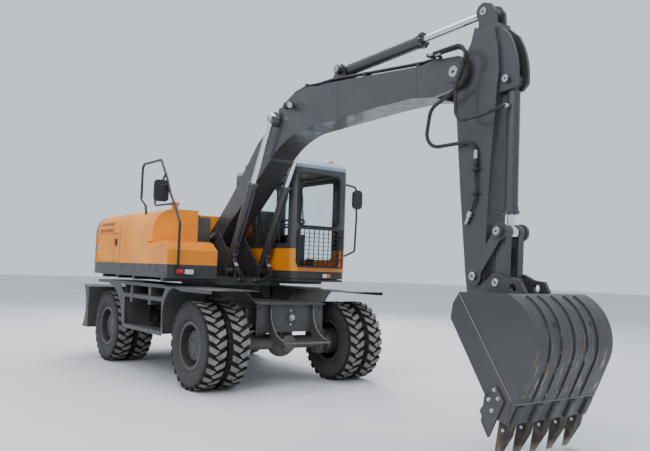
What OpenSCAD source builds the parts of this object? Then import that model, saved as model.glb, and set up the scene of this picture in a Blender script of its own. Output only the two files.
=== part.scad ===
/* [Running gear] */
// Distance between the two axles
wheelbase = 2797; // [2600:1:2950]
// Rear axle behind the slewing axis
rear_axle_back = 1160; // [1060:1:1260]
// Tyre radius, out to the tips of the lugs
tyre_r = 508; // [490:1:520]
// Width of one tyre
tyre_w = 250; // [235:1:262]
// Depth of the lugs
lug_h = 20; // [12:1:26]
// Lugs round one row of a tyre
lugs = 30; // [24:1:36]
// Slant of the lugs
lug_slant = 24; // [10:1:32]
// Gap between the two tyres of a pair
dual_gap = 48; // [40:1:60]
// Width over the outer tyres
overall_w = 2512; // [2480:1:2560]
// Radius on which the tyre bead sits
bead_r = 254; // [245:1:262]
// Radius of the rim flange
flange_r = 285; // [278:1:292]
// Width between the rim flanges
rim_w = 178; // [165:1:190]
// Radius of the hub drum
hub_r = 165; // [150:1:180]
// Radius of the wheel spindle
spindle_r = 55; // [45:1:65]
// Steering pivot inside the inner tyre's face
kingpin_in = 88; // [80:1:100]
// Length of the steering arm behind the pivot
steer_arm = 180; // [160:1:200]
// Radius of the axle tubes
axle_tube_r = 82; // [70:1:88]
// Radius of the differential housing
diff_r = 178; // [150:1:185]

/* [Undercarriage] */
// Height of the frame's deck
deck_z = 1004; // [990:1:1015]
// Height of the frame's side webs
web_h = 284; // [260:1:290]
// Outside of the frame's side webs, from the middle
web_y = 350; // [330:1:370]
// Half width of the front plate
nose_half = 484; // [470:1:500]
// Front face of the front plate ahead of the front axle
nose_ahead = 210; // [200:1:230]
// Height of the front plate
nose_h = 350; // [320:1:360]
// Height of the oscillation pin
osc_pin_z = 830; // [815:1:845]
// Height of the rear and middle fender deck
fender_z = 1175; // [1160:1:1180]
// Step down of the front fender deck
fender_drop = 15; // [5:1:30]
// Depth of the fender's edge band
band_h = 42; // [30:1:50]
// Thickness of the fender plates
fender_t = 8; // [6:1:12]
// Clearance round the rear tyres
rear_arch_gap = 107; // [90:1:112]
// Depth of a side step
step_d = 210; // [180:1:240]
// Height of the slewing ring
ring_h = 85; // [70:1:95]
// Outer radius of the slewing ring
ring_r = 561; // [540:1:575]
// Height of the pedestal under the ring
pedestal_h = 96; // [90:1:105]

/* [Blade] */
// Height of the blade
blade_h = 632; // [600:1:660]
// Ground clearance of the raised blade
blade_lift = 413; // [400:1:450]
// Width of the blade
blade_w = 2520; // [2460:1:2560]
// Machine side of the blade behind the slewing axis
blade_back = 1995; // [1960:1:2030]

/* [Upper structure] */
// Half width of the bodywork
body_half = 1238; // [1225:1:1250]
// Underside of the skirts
skirt_z = 1262; // [1255:1:1275]
// Top of the skirts and foot of the painted panels
panel_z = 1434; // [1420:1:1445]
// Top of the engine cowling
hood_z = 2170; // [2140:1:2200]
// Radius of the cowling's shoulder
shoulder_r = 300; // [250:1:330]
// Thickness of doors and cowling walls
wall_t = 40; // [30:1:50]
// Rear end of the cowling
cowl_back = 1783; // [1760:1:1800]
// Front end of the cowling behind the slewing axis
cowl_front = 341; // [330:1:360]
// Swing radius of the tail
tail_r = 2270; // [2240:1:2300]
// Front face of the tank block
tank_front = 400; // [380:1:420]
// Inner side of the tank block
tank_in = 600; // [590:1:620]
// Front face of the tool box
box_front = 906; // [880:1:930]
// Inner side of the tool box
box_in = 549; // [540:1:570]
// Top of the tool box
box_z = 1720; // [1700:1:1740]
// Seam between the tank and the tool box
box_seam = 231; // [220:1:245]
// Bevel on the tool box
box_bevel = 50; // [30:1:70]

/* [Cab] */
// Front face of the cab
cab_front = 1356; // [1330:1:1375]
// Rear face of the cab behind the slewing axis
cab_back = 330; // [315:1:338]
// Inner side of the cab
cab_in = 338; // [334:1:350]
// Outer side of the cab
cab_out = 1240; // [1225:1:1250]
// Foot of the cab's shell
cab_z = 1400; // [1390:1:1410]
// Top of the cab's walls
cab_top = 2800; // [2780:1:2820]
// Thickness of the cab's walls
cab_t = 50; // [40:1:60]
// Corner radius of the cab
cab_corner = 120; // [100:1:140]
// Rise of the roof
roof_h = 110; // [90:1:130]
// Corner radius of the windows
window_r = 70; // [40:1:90]
// Thickness of the glass
glass_t = 8; // [5:1:12]
// Gap round the doors and lids
door_gap = 6; // [5:1:8]
// Rear edge of the cab door
door_back = 100; // [80:1:140]
// Front edge of the cab door
door_front = 1106; // [1050:1:1120]

/* [Boom] */
// Half width of the boom
boom_half = 170; // [160:1:173]
// Radius of the boom's foot
foot_r = 150; // [135:1:155]
// Radius of the boom's nose
nose_r = 150; // [130:1:160]
// Thickness of the boom's nose cheeks
cheek_t = 44; // [38:1:46]
// Thickness of the boom towers
tower_t = 18; // [14:1:20]
// Side play at the main pins
side_gap = 6; // [5:1:8]
// Radius of the main pins
pin_r = 36; // [30:1:42]
// Running clearance of a pin
pin_gap = 0.4; // [0.3:0.1:0.8]

/* [Cylinders] */
// Middle of each boom cylinder from the boom's middle
boom_cyl_y = 256; // [252:1:260]
// Radius of a boom cylinder's barrel
boom_cyl_r = 54; // [50:1:56]
// Radius of the arm cylinder's barrel
arm_cyl_r = 68; // [60:1:72]
// Radius of the bucket cylinder's barrel
bucket_cyl_r = 56; // [50:1:60]
// Radius of the cylinder rods
rod_r = 36; // [30:1:38]
// Half width of a cylinder eye
eye_half = 40; // [36:1:42]
// Radius of a cylinder eye
eye_r = 62; // [56:1:66]
// Radius of the cylinder pins
cyl_pin_r = 30; // [26:1:33]

/* [Arm and bucket] */
// Half width of the arm
arm_half = 118; // [110:1:120]
// Thickness of a rocker plate
rocker_t = 30; // [24:1:34]
// Half width of the bucket
bucket_half = 500; // [450:1:520]
// Thickness of the bucket's side plates
bucket_side_t = 24; // [16:1:28]
// Thickness of the bucket's shell
bucket_shell_t = 22; // [16:1:26]
// Thickness of the bucket's ears
ear_t = 40; // [34:1:44]
// Radius of the bucket's curved back
bucket_back_r = 400; // [380:1:410]
// Number of bucket teeth
teeth = 5; // [4:1:5]
// Width of a bucket tooth at its root
tooth_w = 90; // [80:1:100]

/* [Hidden] */
$fn = 48;
eps = 0.01;

// Colours
orange = [0.95, 0.55, 0.10];
charcoal = [0.20, 0.20, 0.21];
grey = [0.36, 0.36, 0.37];
black = [0.06, 0.06, 0.07];
steel = [0.75, 0.76, 0.78];
roof_blue = [0.55, 0.62, 0.68];

// Running gear, worked out from the driving sizes
rear_x = -rear_axle_back;
front_x = wheelbase - rear_axle_back;
axle_z = tyre_r;
y_out = overall_w / 2 - tyre_w / 2;
y_in = y_out - tyre_w - dual_gap;
y_mid = (y_out + y_in) / 2;
wheel_in = y_in - tyre_w / 2;
kingpin_y = wheel_in - kingpin_in;
yoke_z = 115;
yoke_t = 35;
kingpin_r = 24;

// Wheel pairs: name, axle position, side (left is +1)
WHEELS = [
    ["front_left", front_x, 1],
    ["front_right", front_x, -1],
    ["rear_left", rear_x, 1],
    ["rear_right", rear_x, -1]
];

// Pivots of the front in the machine's middle plane, as [x, z]
foot = [100, 1861];
boom_nose = [4666, 3267];
boom_cyl_base = [660, 1385];
boom_cyl_head = [1650, 3295];
arm_cyl_base = [2812, 3702];
arm_cyl_head = [4903, 3788];
bucket_cyl_base = [5200, 3110];
rocker_head = [5189, 1802];
rocker_base = [4920, 1418];
link_pin = [5178, 1371];
bucket_pin = [4930, 1150];
// Pivots of the blade, as [x, z]
blade_pivot = [-720, 660];
blade_cyl_base = [-1500, 930];
blade_cyl_head = [-1900, 585];

function unit(a) = [cos(a), sin(a)];
function arc(c, r, a0, a1, n) = [for (i = [0:n]) c + r * unit(a0 + (a1 - a0) * i / n)];
function heading(p, q) = atan2(q[1] - p[1], q[0] - p[0]);

// Plate in the XZ plane from y0 to y1
module plate_y(y0, y1) translate([0, y1, 0]) rotate([90, 0, 0]) linear_extrude(y1 - y0) children();

// Plate in the YZ plane from x0 to x1
module plate_x(x0, x1) translate([x0, 0, 0]) rotate([90, 0, 90]) linear_extrude(x1 - x0) children();

// Round bars along the axes
module bar_y(p, r, y0, y1) translate([p[0], y0, p[1]]) rotate([-90, 0, 0]) cylinder(r = r, h = y1 - y0);
module bar_x(y, z, r, x0, x1) translate([x0, y, z]) rotate([0, 90, 0]) cylinder(r = r, h = x1 - x0);
module bar_z(x, y, r, z0, z1) translate([x, y, z0]) cylinder(r = r, h = z1 - z0);
module box(x0, x1, y0, y1, z0, z1) translate([x0, y0, z0]) cube([x1 - x0, y1 - y0, z1 - z0]);

// Copy on the left side, or mirrored on the right
module on_side(side) mirror([0, side < 0 ? 1 : 0, 0]) children();
module both_sides() for (side = [1, -1]) on_side(side) children();

// Local X runs from p to q in the XZ plane
module aim(p, q) translate([p[0], 0, p[1]]) rotate([0, -heading(p, q), 0]) children();

// Flat bar with round ends between two points of the drawing plane, its sides just inside the rounds
waist = 0.3;

module strut2d(p, q, w) {
    translate(p) circle(d = w);
    translate(q) circle(d = w);
    translate(p) rotate(heading(p, q)) translate([0, waist - w / 2]) square([norm(q - p), w - 2 * waist]);
}

function scaled(v) = v / norm(v);

elbow_lap = 2;
elbow_swell = 0.6;

// Bent tube through a list of points in space, with one bend radius
module tube(points, r, bend) {
    last = len(points) - 1;
    way = [for (i = [0:last - 1]) scaled(points[i + 1] - points[i])];
    turn = [for (i = [0:last]) i == 0 || i == last ? 0 : acos(way[i - 1] * way[i])];
    cut = [for (i = [0:last]) bend * tan(turn[i] / 2)];
    for (i = [0:last - 1]) {
        d = way[i];
        from = cut[i] == 0 ? 0 : cut[i] - elbow_lap;
        to = norm(points[i + 1] - points[i]) - (cut[i + 1] == 0 ? 0 : cut[i + 1] - elbow_lap);
        translate(points[i] + d * from) rotate([0, acos(d[2]), atan2(d[1], d[0])]) cylinder(r = r, h = to - from);
    }
    for (i = [1:last - 1]) {
        u = way[i - 1];
        w = scaled(way[i] - u * (way[i] * u));
        n = cross(-w, u);
        c = points[i] - u * cut[i] + w * bend;
        multmatrix([[-w[0], u[0], n[0], c[0]], [-w[1], u[1], n[1], c[1]], [-w[2], u[2], n[2], c[2]]])
            rotate_extrude(angle = turn[i]) translate([bend, 0]) circle(r = r + elbow_swell);
    }
}

// Rounded rectangle from [x0, y0] to [x1, y1], with a radius at each end
module rounded_plan(x0, x1, y0, y1, r0, r1) {
    translate([x0, y0 + r0]) square([x1 - x0 - r1, y1 - y0 - 2 * r0]);
    translate([x0 + r0, y0]) square([x1 - x0 - r0 - r1, y1 - y0]);
    translate([x1 - r1 - eps, y0 + r1]) square([r1 + eps, y1 - y0 - 2 * r1]);
    for (y = [y0 + r0, y1 - r0]) translate([x0 + r0, y]) circle(r = r0);
    for (y = [y0 + r1, y1 - r1]) translate([x1 - r1, y]) circle(r = r1);
}

// Chassis frame with nose plate, pedestal, axle pin and the blade's lugs
web_z = deck_z - web_h;
nose_x = front_x + nose_ahead;
frame_back = 1900;
web_t = 20;
pedestal_z = deck_z + pedestal_h;
osc_back = front_x - 225;
rear_beam = [-1540, -1460];

module chassis_frame() {
    color(charcoal) difference() {
        union() {
            box(-frame_back, nose_x + 53, -nose_half, nose_half, deck_z - 15, deck_z);
            both_sides() box(-frame_back, nose_x - 25, web_y - web_t, web_y, web_z, deck_z);
            box(nose_x - 25, nose_x, -nose_half, nose_half, deck_z - nose_h, deck_z);
            box(osc_back - 25, osc_back, -web_y, web_y, web_z, deck_z);
            box(-frame_back, 25 - frame_back, -nose_half, nose_half, web_z + 40, deck_z);
            box(-470, 470, -fender_in, fender_in, deck_z - 150, deck_z);
            translate([0, 0, deck_z]) cylinder(r1 = 640, r2 = 590, h = pedestal_h);
            both_sides() {
                box(rear_beam[0], rear_beam[1], web_y, 565, deck_z - 20, deck_z);
                bar_y(blade_pivot, 62, web_y, blade_arm_y[0] - side_gap);
                bar_y(blade_pivot, blade_pin_r, web_y, blade_arm_y[1] + side_gap + 14);
                bar_y(blade_pivot, 45, blade_arm_y[1] + side_gap, blade_arm_y[1] + side_gap + 14);
                for (y = blade_ear_y) plate_y(y, y + 18) lug2d(blade_cyl_base, 42, deck_z - 10);
                bar_y(blade_cyl_base, 20, blade_ear_y[0], blade_ear_y[1] + 18);
            }
            bar_x(0, osc_pin_z, 35, osc_back - 25, nose_x + 24);
            bar_x(0, osc_pin_z, 62, nose_x, nose_x + 14);
        }
        translate([0, 0, deck_z - 200]) cylinder(r = 430, h = 400);
    }
}

// Lug hanging from a beam at height top
module lug2d(p, r, top) {
    translate(p) circle(r = r);
    translate([p[0] - r, p[1]]) square([2 * r, top - p[1]]);
}

// Fenders, their liners and the side steps
fender_in = 620;
fender_out = body_half + 2;
rear_arch_r = tyre_r + rear_arch_gap;
front_deck_z = fender_z - fender_drop;
fender_back = -1621;
fender_front = 2130;
kink_x = [760, 917];
step_x = [-490, 795];
step_z = [1016, 592];
front_arch = [1180, 805];
front_arch_r = front_deck_z - fender_t - front_arch[1];
leg_foot = 545;
leg_w = 62;

module fender_side2d() {
    band_z = fender_z - band_h;
    front_band_z = front_deck_z - band_h;
    polygon(concat(
        [[fender_back, fender_z], [fender_back, band_z], [rear_x, band_z]],
        arc([rear_x, axle_z], rear_arch_r, 86, 6, 14),
        [[step_x[0] - 30, leg_foot], [step_x[0] + 32, leg_foot], [step_x[0], step_z[0] - 20],
         [step_x[0] - 200, band_z], [step_x[1] + 90, band_z], [step_x[1] - 10, step_z[0] - 20],
         [step_x[1] + 12, leg_foot + 20], [step_x[1] + 12 + leg_w, leg_foot + 20]],
        arc(front_arch, front_arch_r, 180, 95, 12),
        [[1350, front_band_z], [fender_front, front_band_z], [fender_front, front_deck_z],
         [kink_x[1], front_deck_z], [kink_x[0], fender_z]]
    ));
}

module fender_deck2d() {
    translate([fender_back, fender_z - fender_t]) square([kink_x[0] - fender_back, fender_t]);
    polygon([[kink_x[0], fender_z], [kink_x[1], front_deck_z], [kink_x[1], front_deck_z - fender_t],
             [kink_x[0], fender_z - fender_t]]);
    translate([kink_x[1], front_deck_z - fender_t]) square([fender_front - kink_x[1], fender_t]);
}

module fenders() {
    liner_x = front_arch[0] - front_arch_r;
    color(grey) both_sides() {
        plate_y(fender_out - fender_t, fender_out) fender_side2d();
        plate_y(fender_in, fender_out - fender_t) fender_deck2d();
        // Wheel arch liners
        plate_y(wheel_in, fender_out - fender_t) polygon(concat(
            arc([rear_x, axle_z], rear_arch_r + 6, 8, 60, 8), arc([rear_x, axle_z], rear_arch_r, 60, 8, 8)));
        plate_y(wheel_in, fender_out - fender_t) polygon(concat(
            [[liner_x - 8, leg_foot + 20]], arc(front_arch, front_arch_r + 8, 180, 90, 8),
            arc(front_arch, front_arch_r, 90, 180, 8), [[liner_x, leg_foot + 20]]));
        // Inner end plates of the step box
        box(step_x[0] - 14, step_x[0] - 6, 850, fender_out - fender_t, leg_foot, fender_z - fender_t);
        for (z = step_z) {
            box(step_x[0] - 10, step_x[1] + 50, fender_out - step_d, fender_out, z - 6, z);
            box(step_x[0] - 10, step_x[1] + 20, fender_out - 8, fender_out, z - 52, z);
            box(step_x[0] - 10, step_x[1] + 50, fender_out - step_d, fender_out - step_d + 8, z - 40, z);
        }
        // Slopes down to the frame's deck
        for (x = [[-1450, -700], [1050, 1800]]) plate_x(x[0], x[1]) slope2d(x[0] > 0 ? front_deck_z : fender_z);
        // Outriggers under the middle deck
        for (x = [-300, 340]) box(x, x + 80, fender_in, fender_out - fender_t, deck_z - 100, fender_z - fender_t);
    }
    // Front step with two swept cheeks and a tread
    color(charcoal) {
        both_sides() plate_y(302, 318) step_cheek2d();
        box(nose_x + 303, nose_x + 393, -330, 330, 536, 560);
    }
}

module slope2d(top) polygon([[nose_half - 12, deck_z], [nose_half, deck_z], [fender_in + 10, top - fender_t],
                             [fender_in - 2, top - fender_t]]);

module step_cheek2d() polygon(concat(
    [[nose_x, deck_z - 20], [nose_x + 50, deck_z - 20]],
    arc([nose_x + 390, deck_z - 80], 345, 180, 262, 9),
    [[nose_x + 388, 560], [nose_x + 388, 500], [nose_x + 320, 500], [nose_x + 120, 545], [nose_x, 660]]
));

// Slewing ring, its fixed outer race
ring_top = pedestal_z + ring_h;
race_r = 450;

module slew_ring() {
    color(grey) translate([0, 0, pedestal_z]) rotate_extrude() difference() {
        square([ring_r, ring_h]);
        square([race_r, ring_h]);
        translate([ring_r - 25, ring_h * 0.45]) square([30, ring_h * 0.2]);
    }
}

// Axles
yoke_y = kingpin_y - 65;
drum_y = wheel_in - 8;

module diff_housing(x, nose_dir) {
    translate([x, 0, axle_z]) {
        sphere(r = diff_r);
        rotate([0, 90 * nose_dir, 0]) cylinder(r1 = 120, r2 = 72, h = 320);
        rotate([0, -90 * nose_dir, 0]) cylinder(r = 105, h = diff_r + 10);
    }
}

module front_axle() {
    color(charcoal) {
        difference() {
            union() {
                bar_y([front_x, axle_z], axle_tube_r, -yoke_y, yoke_y);
                diff_housing(front_x, -1);
                both_sides() {
                    box(front_x - 60, front_x + 60, yoke_y - 35, yoke_y, axle_z - yoke_z - yoke_t, axle_z + yoke_z + yoke_t);
                    for (z = [-yoke_z - yoke_t, yoke_z]) translate([0, 0, axle_z + z]) {
                        box(front_x - 58, front_x + 58, yoke_y - 20, kingpin_y, 0, yoke_t);
                        bar_z(front_x, kingpin_y, 58, 0, yoke_t);
                    }
                    box(front_x - 215, front_x - 60, 190, 215, axle_z + 20, steer_rod_z + 10);
                }
                // Saddle with the oscillation bearing
                box(front_x - 120, front_x + 120, -85, 85, axle_z + 60, osc_pin_z);
                bar_x(0, osc_pin_z, 85, front_x - 150, front_x + 150);
                bar_y([front_x - steer_arm, steer_rod_z], 38, -240, 240);
            }
            both_sides() bar_z(front_x, kingpin_y, kingpin_r + pin_gap, axle_z - 200, axle_z + 200);
            bar_x(0, osc_pin_z, 35 + pin_gap, front_x - 160, front_x + 160);
            bar_y([front_x - steer_arm, steer_rod_z], steer_rod_r + pin_gap, -250, 250);
        }
    }
}

module rear_axle() {
    color(charcoal) {
        bar_y([rear_x, axle_z], axle_tube_r, -drum_y, drum_y);
        diff_housing(rear_x, 1);
        both_sides() {
            box(rear_x - 85, rear_x + 85, 255, web_y, axle_z + 40, web_z);
            bar_y([rear_x, axle_z], 140, drum_y - 95, drum_y);
            bar_y([rear_x, axle_z], spindle_r, drum_y, wheel_in + 110);
        }
    }
}

// Steering knuckles and the rod between them
steer_rod_r = 16;
steer_rod_z = axle_z + 134;
arm_level = axle_z + yoke_z + yoke_t + 4;
steer_eye = [-steer_arm, -45];

module knuckle(side) {
    color(grey) on_side(side) translate([front_x, kingpin_y, 0]) {
        bar_z(0, 0, 56, axle_z - yoke_z + 2, axle_z + yoke_z - 2);
        bar_z(0, 0, kingpin_r, axle_z - yoke_z - yoke_t - 10, arm_level + 24);
        translate([0, 0, axle_z]) rotate([-90, 0, 0]) cylinder(r1 = 62, r2 = 95, h = kingpin_in - 22);
        translate([0, kingpin_in - 22, axle_z]) rotate([-90, 0, 0]) cylinder(r = 135, h = 14);
        translate([0, kingpin_in - 22, axle_z]) rotate([-90, 0, 0]) cylinder(r = spindle_r, h = 132);
        translate([0, 0, arm_level]) linear_extrude(22) strut2d([0, 0], steer_eye, 56);
    }
}

module steering_rod() {
    color(steel) {
        bar_y([front_x - steer_arm, steer_rod_z], steer_rod_r, 45 - kingpin_y, kingpin_y - 45);
        both_sides() bar_z(front_x - steer_arm, kingpin_y - 45, 28, steer_rod_z - 16, arm_level - 6);
    }
}

// Transmission and propeller shafts
module driveline() {
    color(charcoal) {
        box(-250, 150, -160, 160, axle_z - 90, 800);
        both_sides() box(-120, 20, 160, web_y - web_t, 740, 780);
        bar_x(0, axle_z, 70, -290, 190);
    }
    color(grey) {
        bar_x(0, axle_z, 38, 190, front_x - 320);
        bar_x(0, axle_z, 38, rear_x + 320, -290);
        for (x = [240, front_x - 370, rear_x + 370, -340]) bar_x(0, axle_z, 62, x - 25, x + 25);
    }
}

// Cylinders that lock the swinging front axle
module axle_locks() {
    color(charcoal) both_sides() {
        bar_z(front_x + 40, yoke_y - 25, 48, axle_z + 190, deck_z - 60);
        box(front_x - 10, front_x + 90, web_y, yoke_y - 25, deck_z - 130, deck_z - 90);
    }
    color(steel) both_sides() bar_z(front_x + 40, yoke_y - 18, 22, axle_z + yoke_z + yoke_t, axle_z + 190);
}

// Tyres, wheels and hubs, drawn round the Z axis and laid on their side
module at_wheel(w) on_side(w[2]) translate([w[1], 0, axle_z]) rotate([-90, 0, 0]) children();

module tyre2d() {
    half = tyre_w / 2;
    bead = bead_r + 0.3;
    tread = tyre_r - lug_h;
    for (s = [1, -1]) polygon([
        [bead, 0], [bead, s * rim_w / 2], [flange_r + 6, s * rim_w / 2], [flange_r + 25, s * half * 0.9],
        [(flange_r + tyre_r) / 2, s * half], [tyre_r - 62, s * half * 0.97], [tread - 12, s * half * 0.9],
        [tread, s * half * 0.84], [tread, 0]
    ]);
}

// Two staggered rows of slanted lugs
module tyre() {
    half = tyre_w / 2;
    lug_w = 0.42 * 2 * PI * tyre_r / lugs;
    rotate_extrude() tyre2d();
    for (s = [1, -1]) for (i = [0:lugs - 1]) rotate((i + (s > 0 ? 0 : 0.5)) * 360 / lugs)
        translate([0, 0, s * half * 0.46]) rotate([s * lug_slant, 0, 0])
            translate([tyre_r - lug_h - 20, -lug_w / 2, -half * 0.42]) cube([lug_h + 19.4, lug_w, half * 0.84]);
}

module tyres(w) color(black) at_wheel(w) for (y = [y_out, y_in]) translate([0, 0, y]) tyre();

module rim2d(y, disc_dir) {
    edge = rim_w / 2 + 12;
    translate([bead_r - 14, y - edge]) square([14, 2 * edge]);
    for (s = [1, -1]) translate([bead_r - 14, y + s * (edge - 6) - 6]) square([flange_r - bead_r + 14, 12]);
    near = y_mid + disc_dir * (y_out - y_mid - edge + 10);
    polygon([[bead_r - 13, near], [bead_r - 13, near + disc_dir * 16], [hub_r + 22, y_mid + disc_dir * 18],
             [hub_r - 5, y_mid + disc_dir * 18], [hub_r - 5, y_mid], [hub_r + 28, y_mid]]);
}

module wheels(w) {
    hub_in = wheel_in + 4;
    cap = y_out - 20;
    color(grey) at_wheel(w) rotate_extrude() {
        rim2d(y_out, 1);
        rim2d(y_in, -1);
        polygon([[spindle_r + pin_gap, hub_in], [hub_r, hub_in], [hub_r, y_mid + 40], [hub_r - 15, y_mid + 40],
                 [hub_r - 15, cap - 25], [hub_r - 35, cap - 5], [60, cap], [0, cap], [0, hub_in + 120],
                 [spindle_r + pin_gap, hub_in + 120]]);
    }
}

// Blade with its push arms and cylinders
blade_arm_y = [390, 440];
blade_pin_r = 25;
blade_cyl_y = 505;
blade_cyl_r = 38;
blade_eye_half = 24;
blade_ear_y = [blade_cyl_y - blade_eye_half - side_gap - 18, blade_cyl_y + blade_eye_half + side_gap];
blade_z = [blade_lift, blade_lift + blade_h];

module blade_face2d(inset) {
    back = -blade_back - inset;
    polygon(concat(
        [[back, blade_z[1] - inset], [-blade_back - 180 + inset, blade_z[1] - inset]],
        arc([-blade_back - 600, blade_z[0] + 340], 480 + inset, 42, -38, 10),
        [[-blade_back - 255 + 2 * inset, blade_z[0]], [back, blade_z[0]]]
    ));
}

module blade() {
    color(charcoal) difference() {
        union() {
            plate_y(-blade_w / 2, blade_w / 2) blade_face2d(0);
            both_sides() {
                plate_y(blade_arm_y[0], blade_arm_y[1]) {
                    translate(blade_pivot) circle(r = 60);
                    strut2d(blade_pivot, [-1000, 840], 110);
                    strut2d([-1000, 840], [-1400, 840], 110);
                    strut2d([-1400, 840], [-1960, 640], 110);
                    translate([-blade_back - 1, 520]) square([80, 240]);
                }
                for (y = blade_ear_y) plate_y(y, y + 18) {
                    strut2d(blade_cyl_head, [-blade_back + 20, 585], 80);
                    translate([-blade_back - 1, 520]) square([40, 130]);
                }
                bar_y(blade_cyl_head, 20, blade_ear_y[0], blade_ear_y[0] + 18 + side_gap - 1);
            }
        }
        both_sides() bar_y(blade_pivot, blade_pin_r + pin_gap, blade_arm_y[0] - 1, blade_arm_y[1] + 1);
        // Hollow behind the face, open below
        plate_y(20 - blade_w / 2, blade_w / 2 - 20) translate([0, -1]) intersection() {
            blade_face2d(20);
            translate([-blade_back - 400, 0]) square([400, blade_z[1] - 19]);
        }
    }
}

blade_cyl_len = norm(blade_cyl_head - blade_cyl_base);

module blade_barrels() color(charcoal) both_sides() translate([0, blade_cyl_y, 0]) aim(blade_cyl_base, blade_cyl_head)
    barrel(blade_eye_half, 38, 20, blade_cyl_r, blade_cyl_len - 75, 18, 60);

module blade_rods() color(steel) both_sides() translate([0, blade_cyl_y, 0]) aim(blade_cyl_base, blade_cyl_head)
    piston_rod(blade_eye_half, 36, 18, blade_cyl_len, 110);

// Cylinder barrel along local X with its eye at the origin
module barrel(half, r_eye, r_pin, r, length, r_rod, bore_start) {
    difference() {
        union() {
            bar_y([0, 0], r_eye, -half, half);
            bar_x(0, 0, min(r * 0.9, half - 2), r_eye * 0.6, r_eye + 35);
            bar_x(0, 0, r, r_eye + 30, length);
            bar_x(0, 0, r + 7, length - 60, length);
        }
        bar_y([0, 0], r_pin + pin_gap, -half - 1, half + 1);
        bar_x(0, 0, r_rod + pin_gap, bore_start + r_eye, length + 1);
    }
}

// Rod along local X with its eye at distance length and its inner end at distance start
module piston_rod(half, r_eye, r, length, start) {
    bar_x(0, 0, r, start, length);
    bar_y([length, 0], r_eye, -half, half);
}

// Upper frame: turntable plate, boom towers, outriggers and floor pans
base_z = ring_top + 1;
base_t = 30;
pan_z = 1300;
skirt_t = 10;
pan_half = body_half - skirt_t;
tower_in = boom_half + side_gap;
tower_ear_t = 18;
seat_gap = 0.3;
tower_out = tower_in + tower_t;
ear_in = boom_cyl_y + eye_half + side_gap;
cab_mid = (cab_in + cab_out) / 2;
CAB_FEET = [for (x = [-180, cab_front - 200]) for (y = [cab_in + 150, cab_out - 150]) [x, y]];

module tower2d() {
    translate(foot) circle(r = 125);
    translate(boom_cyl_base) circle(r = 88);
    polygon([[-650, base_z + base_t - 1], [-650, base_z + 120], [-250, 1500], [foot[0] - 85, foot[1] + 90],
             [foot[0] + 95, foot[1] + 80], [boom_cyl_base[0] + 60, boom_cyl_base[1] + 65],
             [boom_cyl_base[0] + 88, boom_cyl_base[1]], [boom_cyl_base[0] + 88, base_z + base_t - 1]]);
}

module upper_frame() {
    color(charcoal) {
        // Inner race of the slewing ring
        translate([0, 0, pedestal_z + 15]) rotate_extrude() translate([race_r - 60, 0])
            square([59.5, base_z - pedestal_z - 14]);
        box(-1700, 790, -500, 500, base_z, base_z + base_t);
        both_sides() {
            plate_y(tower_in, tower_out) tower2d();
            bar_y(boom_cyl_base, 56, tower_out, boom_cyl_y - eye_half - side_gap);
            plate_y(ear_in, ear_in + tower_ear_t) {
                translate(boom_cyl_base) circle(r = 75);
                translate([boom_cyl_base[0] - 75, base_z + base_t - 1]) square([150, boom_cyl_base[1] - base_z - base_t]);
            }
            bar_y(boom_cyl_base, cyl_pin_r, tower_in, ear_in + tower_ear_t + 6);
            bar_y(foot, 62, tower_out, tower_out + 22);
        }
        bar_y(foot, pin_r, -tower_out - 30, tower_out + 30);
        box(-640, -610, -tower_in, tower_in, base_z, base_z + 120);
        // Cross members and pans
        for (x = [-1500, -900, -280]) box(x, x + 80, -pan_half, pan_half, base_z + base_t - 1, pan_z - 8);
        box(700, 780, -pan_half, pan_half, base_z + base_t - 1, pan_z - 8);
        box(-cowl_back, box_front - skirt_t, -pan_half, -480, pan_z - 8, pan_z);
        box(-cowl_back, -cab_back - 80, 480, pan_half, pan_z - 8, pan_z);
        box(-cowl_back, -700, -480, 480, pan_z - 8, pan_z);
        box(-cab_back - 80, cab_front - 140, cab_in + 60, cab_out - 60, pan_z - 8, pan_z);
        for (p = CAB_FEET) bar_z(p[0], p[1], 45, pan_z - 8, cab_z);
    }
}

// Counterweight: arc of the tail cut by the cowling's round-shouldered section
module section2d(inset) {
    half = body_half - inset;
    top = hood_z - inset;
    r = shoulder_r - inset;
    translate([-half, 0]) square([2 * half, top - r]);
    translate([r - half, 0]) square([2 * (half - r), top]);
    for (s = [1, -1]) translate([s * (half - r), top - r]) circle(r = r);
}

module counterweight() {
    color(charcoal) intersection() {
        linear_extrude(3000) intersection() {
            circle(r = tail_r);
            translate([-tail_r, -body_half]) square([tail_r - cowl_back - seat_gap, 2 * body_half]);
        }
        plate_x(-3000, 0) section2d(18);
        plate_y(-2000, 2000) {
            translate([-tail_r, skirt_z + 60]) square([tail_r, hood_z - skirt_z - 260]);
            translate([-tail_r + 200, skirt_z]) square([tail_r, hood_z - skirt_z]);
            translate([-tail_r + 200, hood_z - 200]) circle(r = 200);
            translate([-tail_r + 60, skirt_z + 60]) circle(r = 60);
            translate([-tail_r + 60, skirt_z]) square([200, 200]);
        }
    }
}

// Engine, one plain block with its fan side towards the left
module engine_block() {
    color(grey) box(-1500, -720, -420, 640, pan_z + 30, pan_z + 640);
    color(grey) for (x = [-1450, -850]) box(x, x + 80, -380, 470, pan_z, pan_z + 31);
}

// Swing drive, valve block and hydraulic tank behind the boom's foot
module hydraulic_gear() {
    color(charcoal) {
        bar_z(-80, 0, 105, base_z + base_t, base_z + 250);
        bar_z(-80, 0, 75, base_z + 249, base_z + 330);
    }
    color(black) {
        box(-cowl_front + 10, 60, -tank_in + 10, -tower_out - 45, pan_z, 2110);
        bar_z(-120, -400, 70, 2110, 2150);
    }
    color(grey) box(-cowl_front + 8, -cowl_front + 150, -120, 150, 1480 + 60, 1900);
    color(grey) box(-cowl_front + 20, -cowl_front + 60, -100, 130, base_z + base_t, 1541);
}

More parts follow.
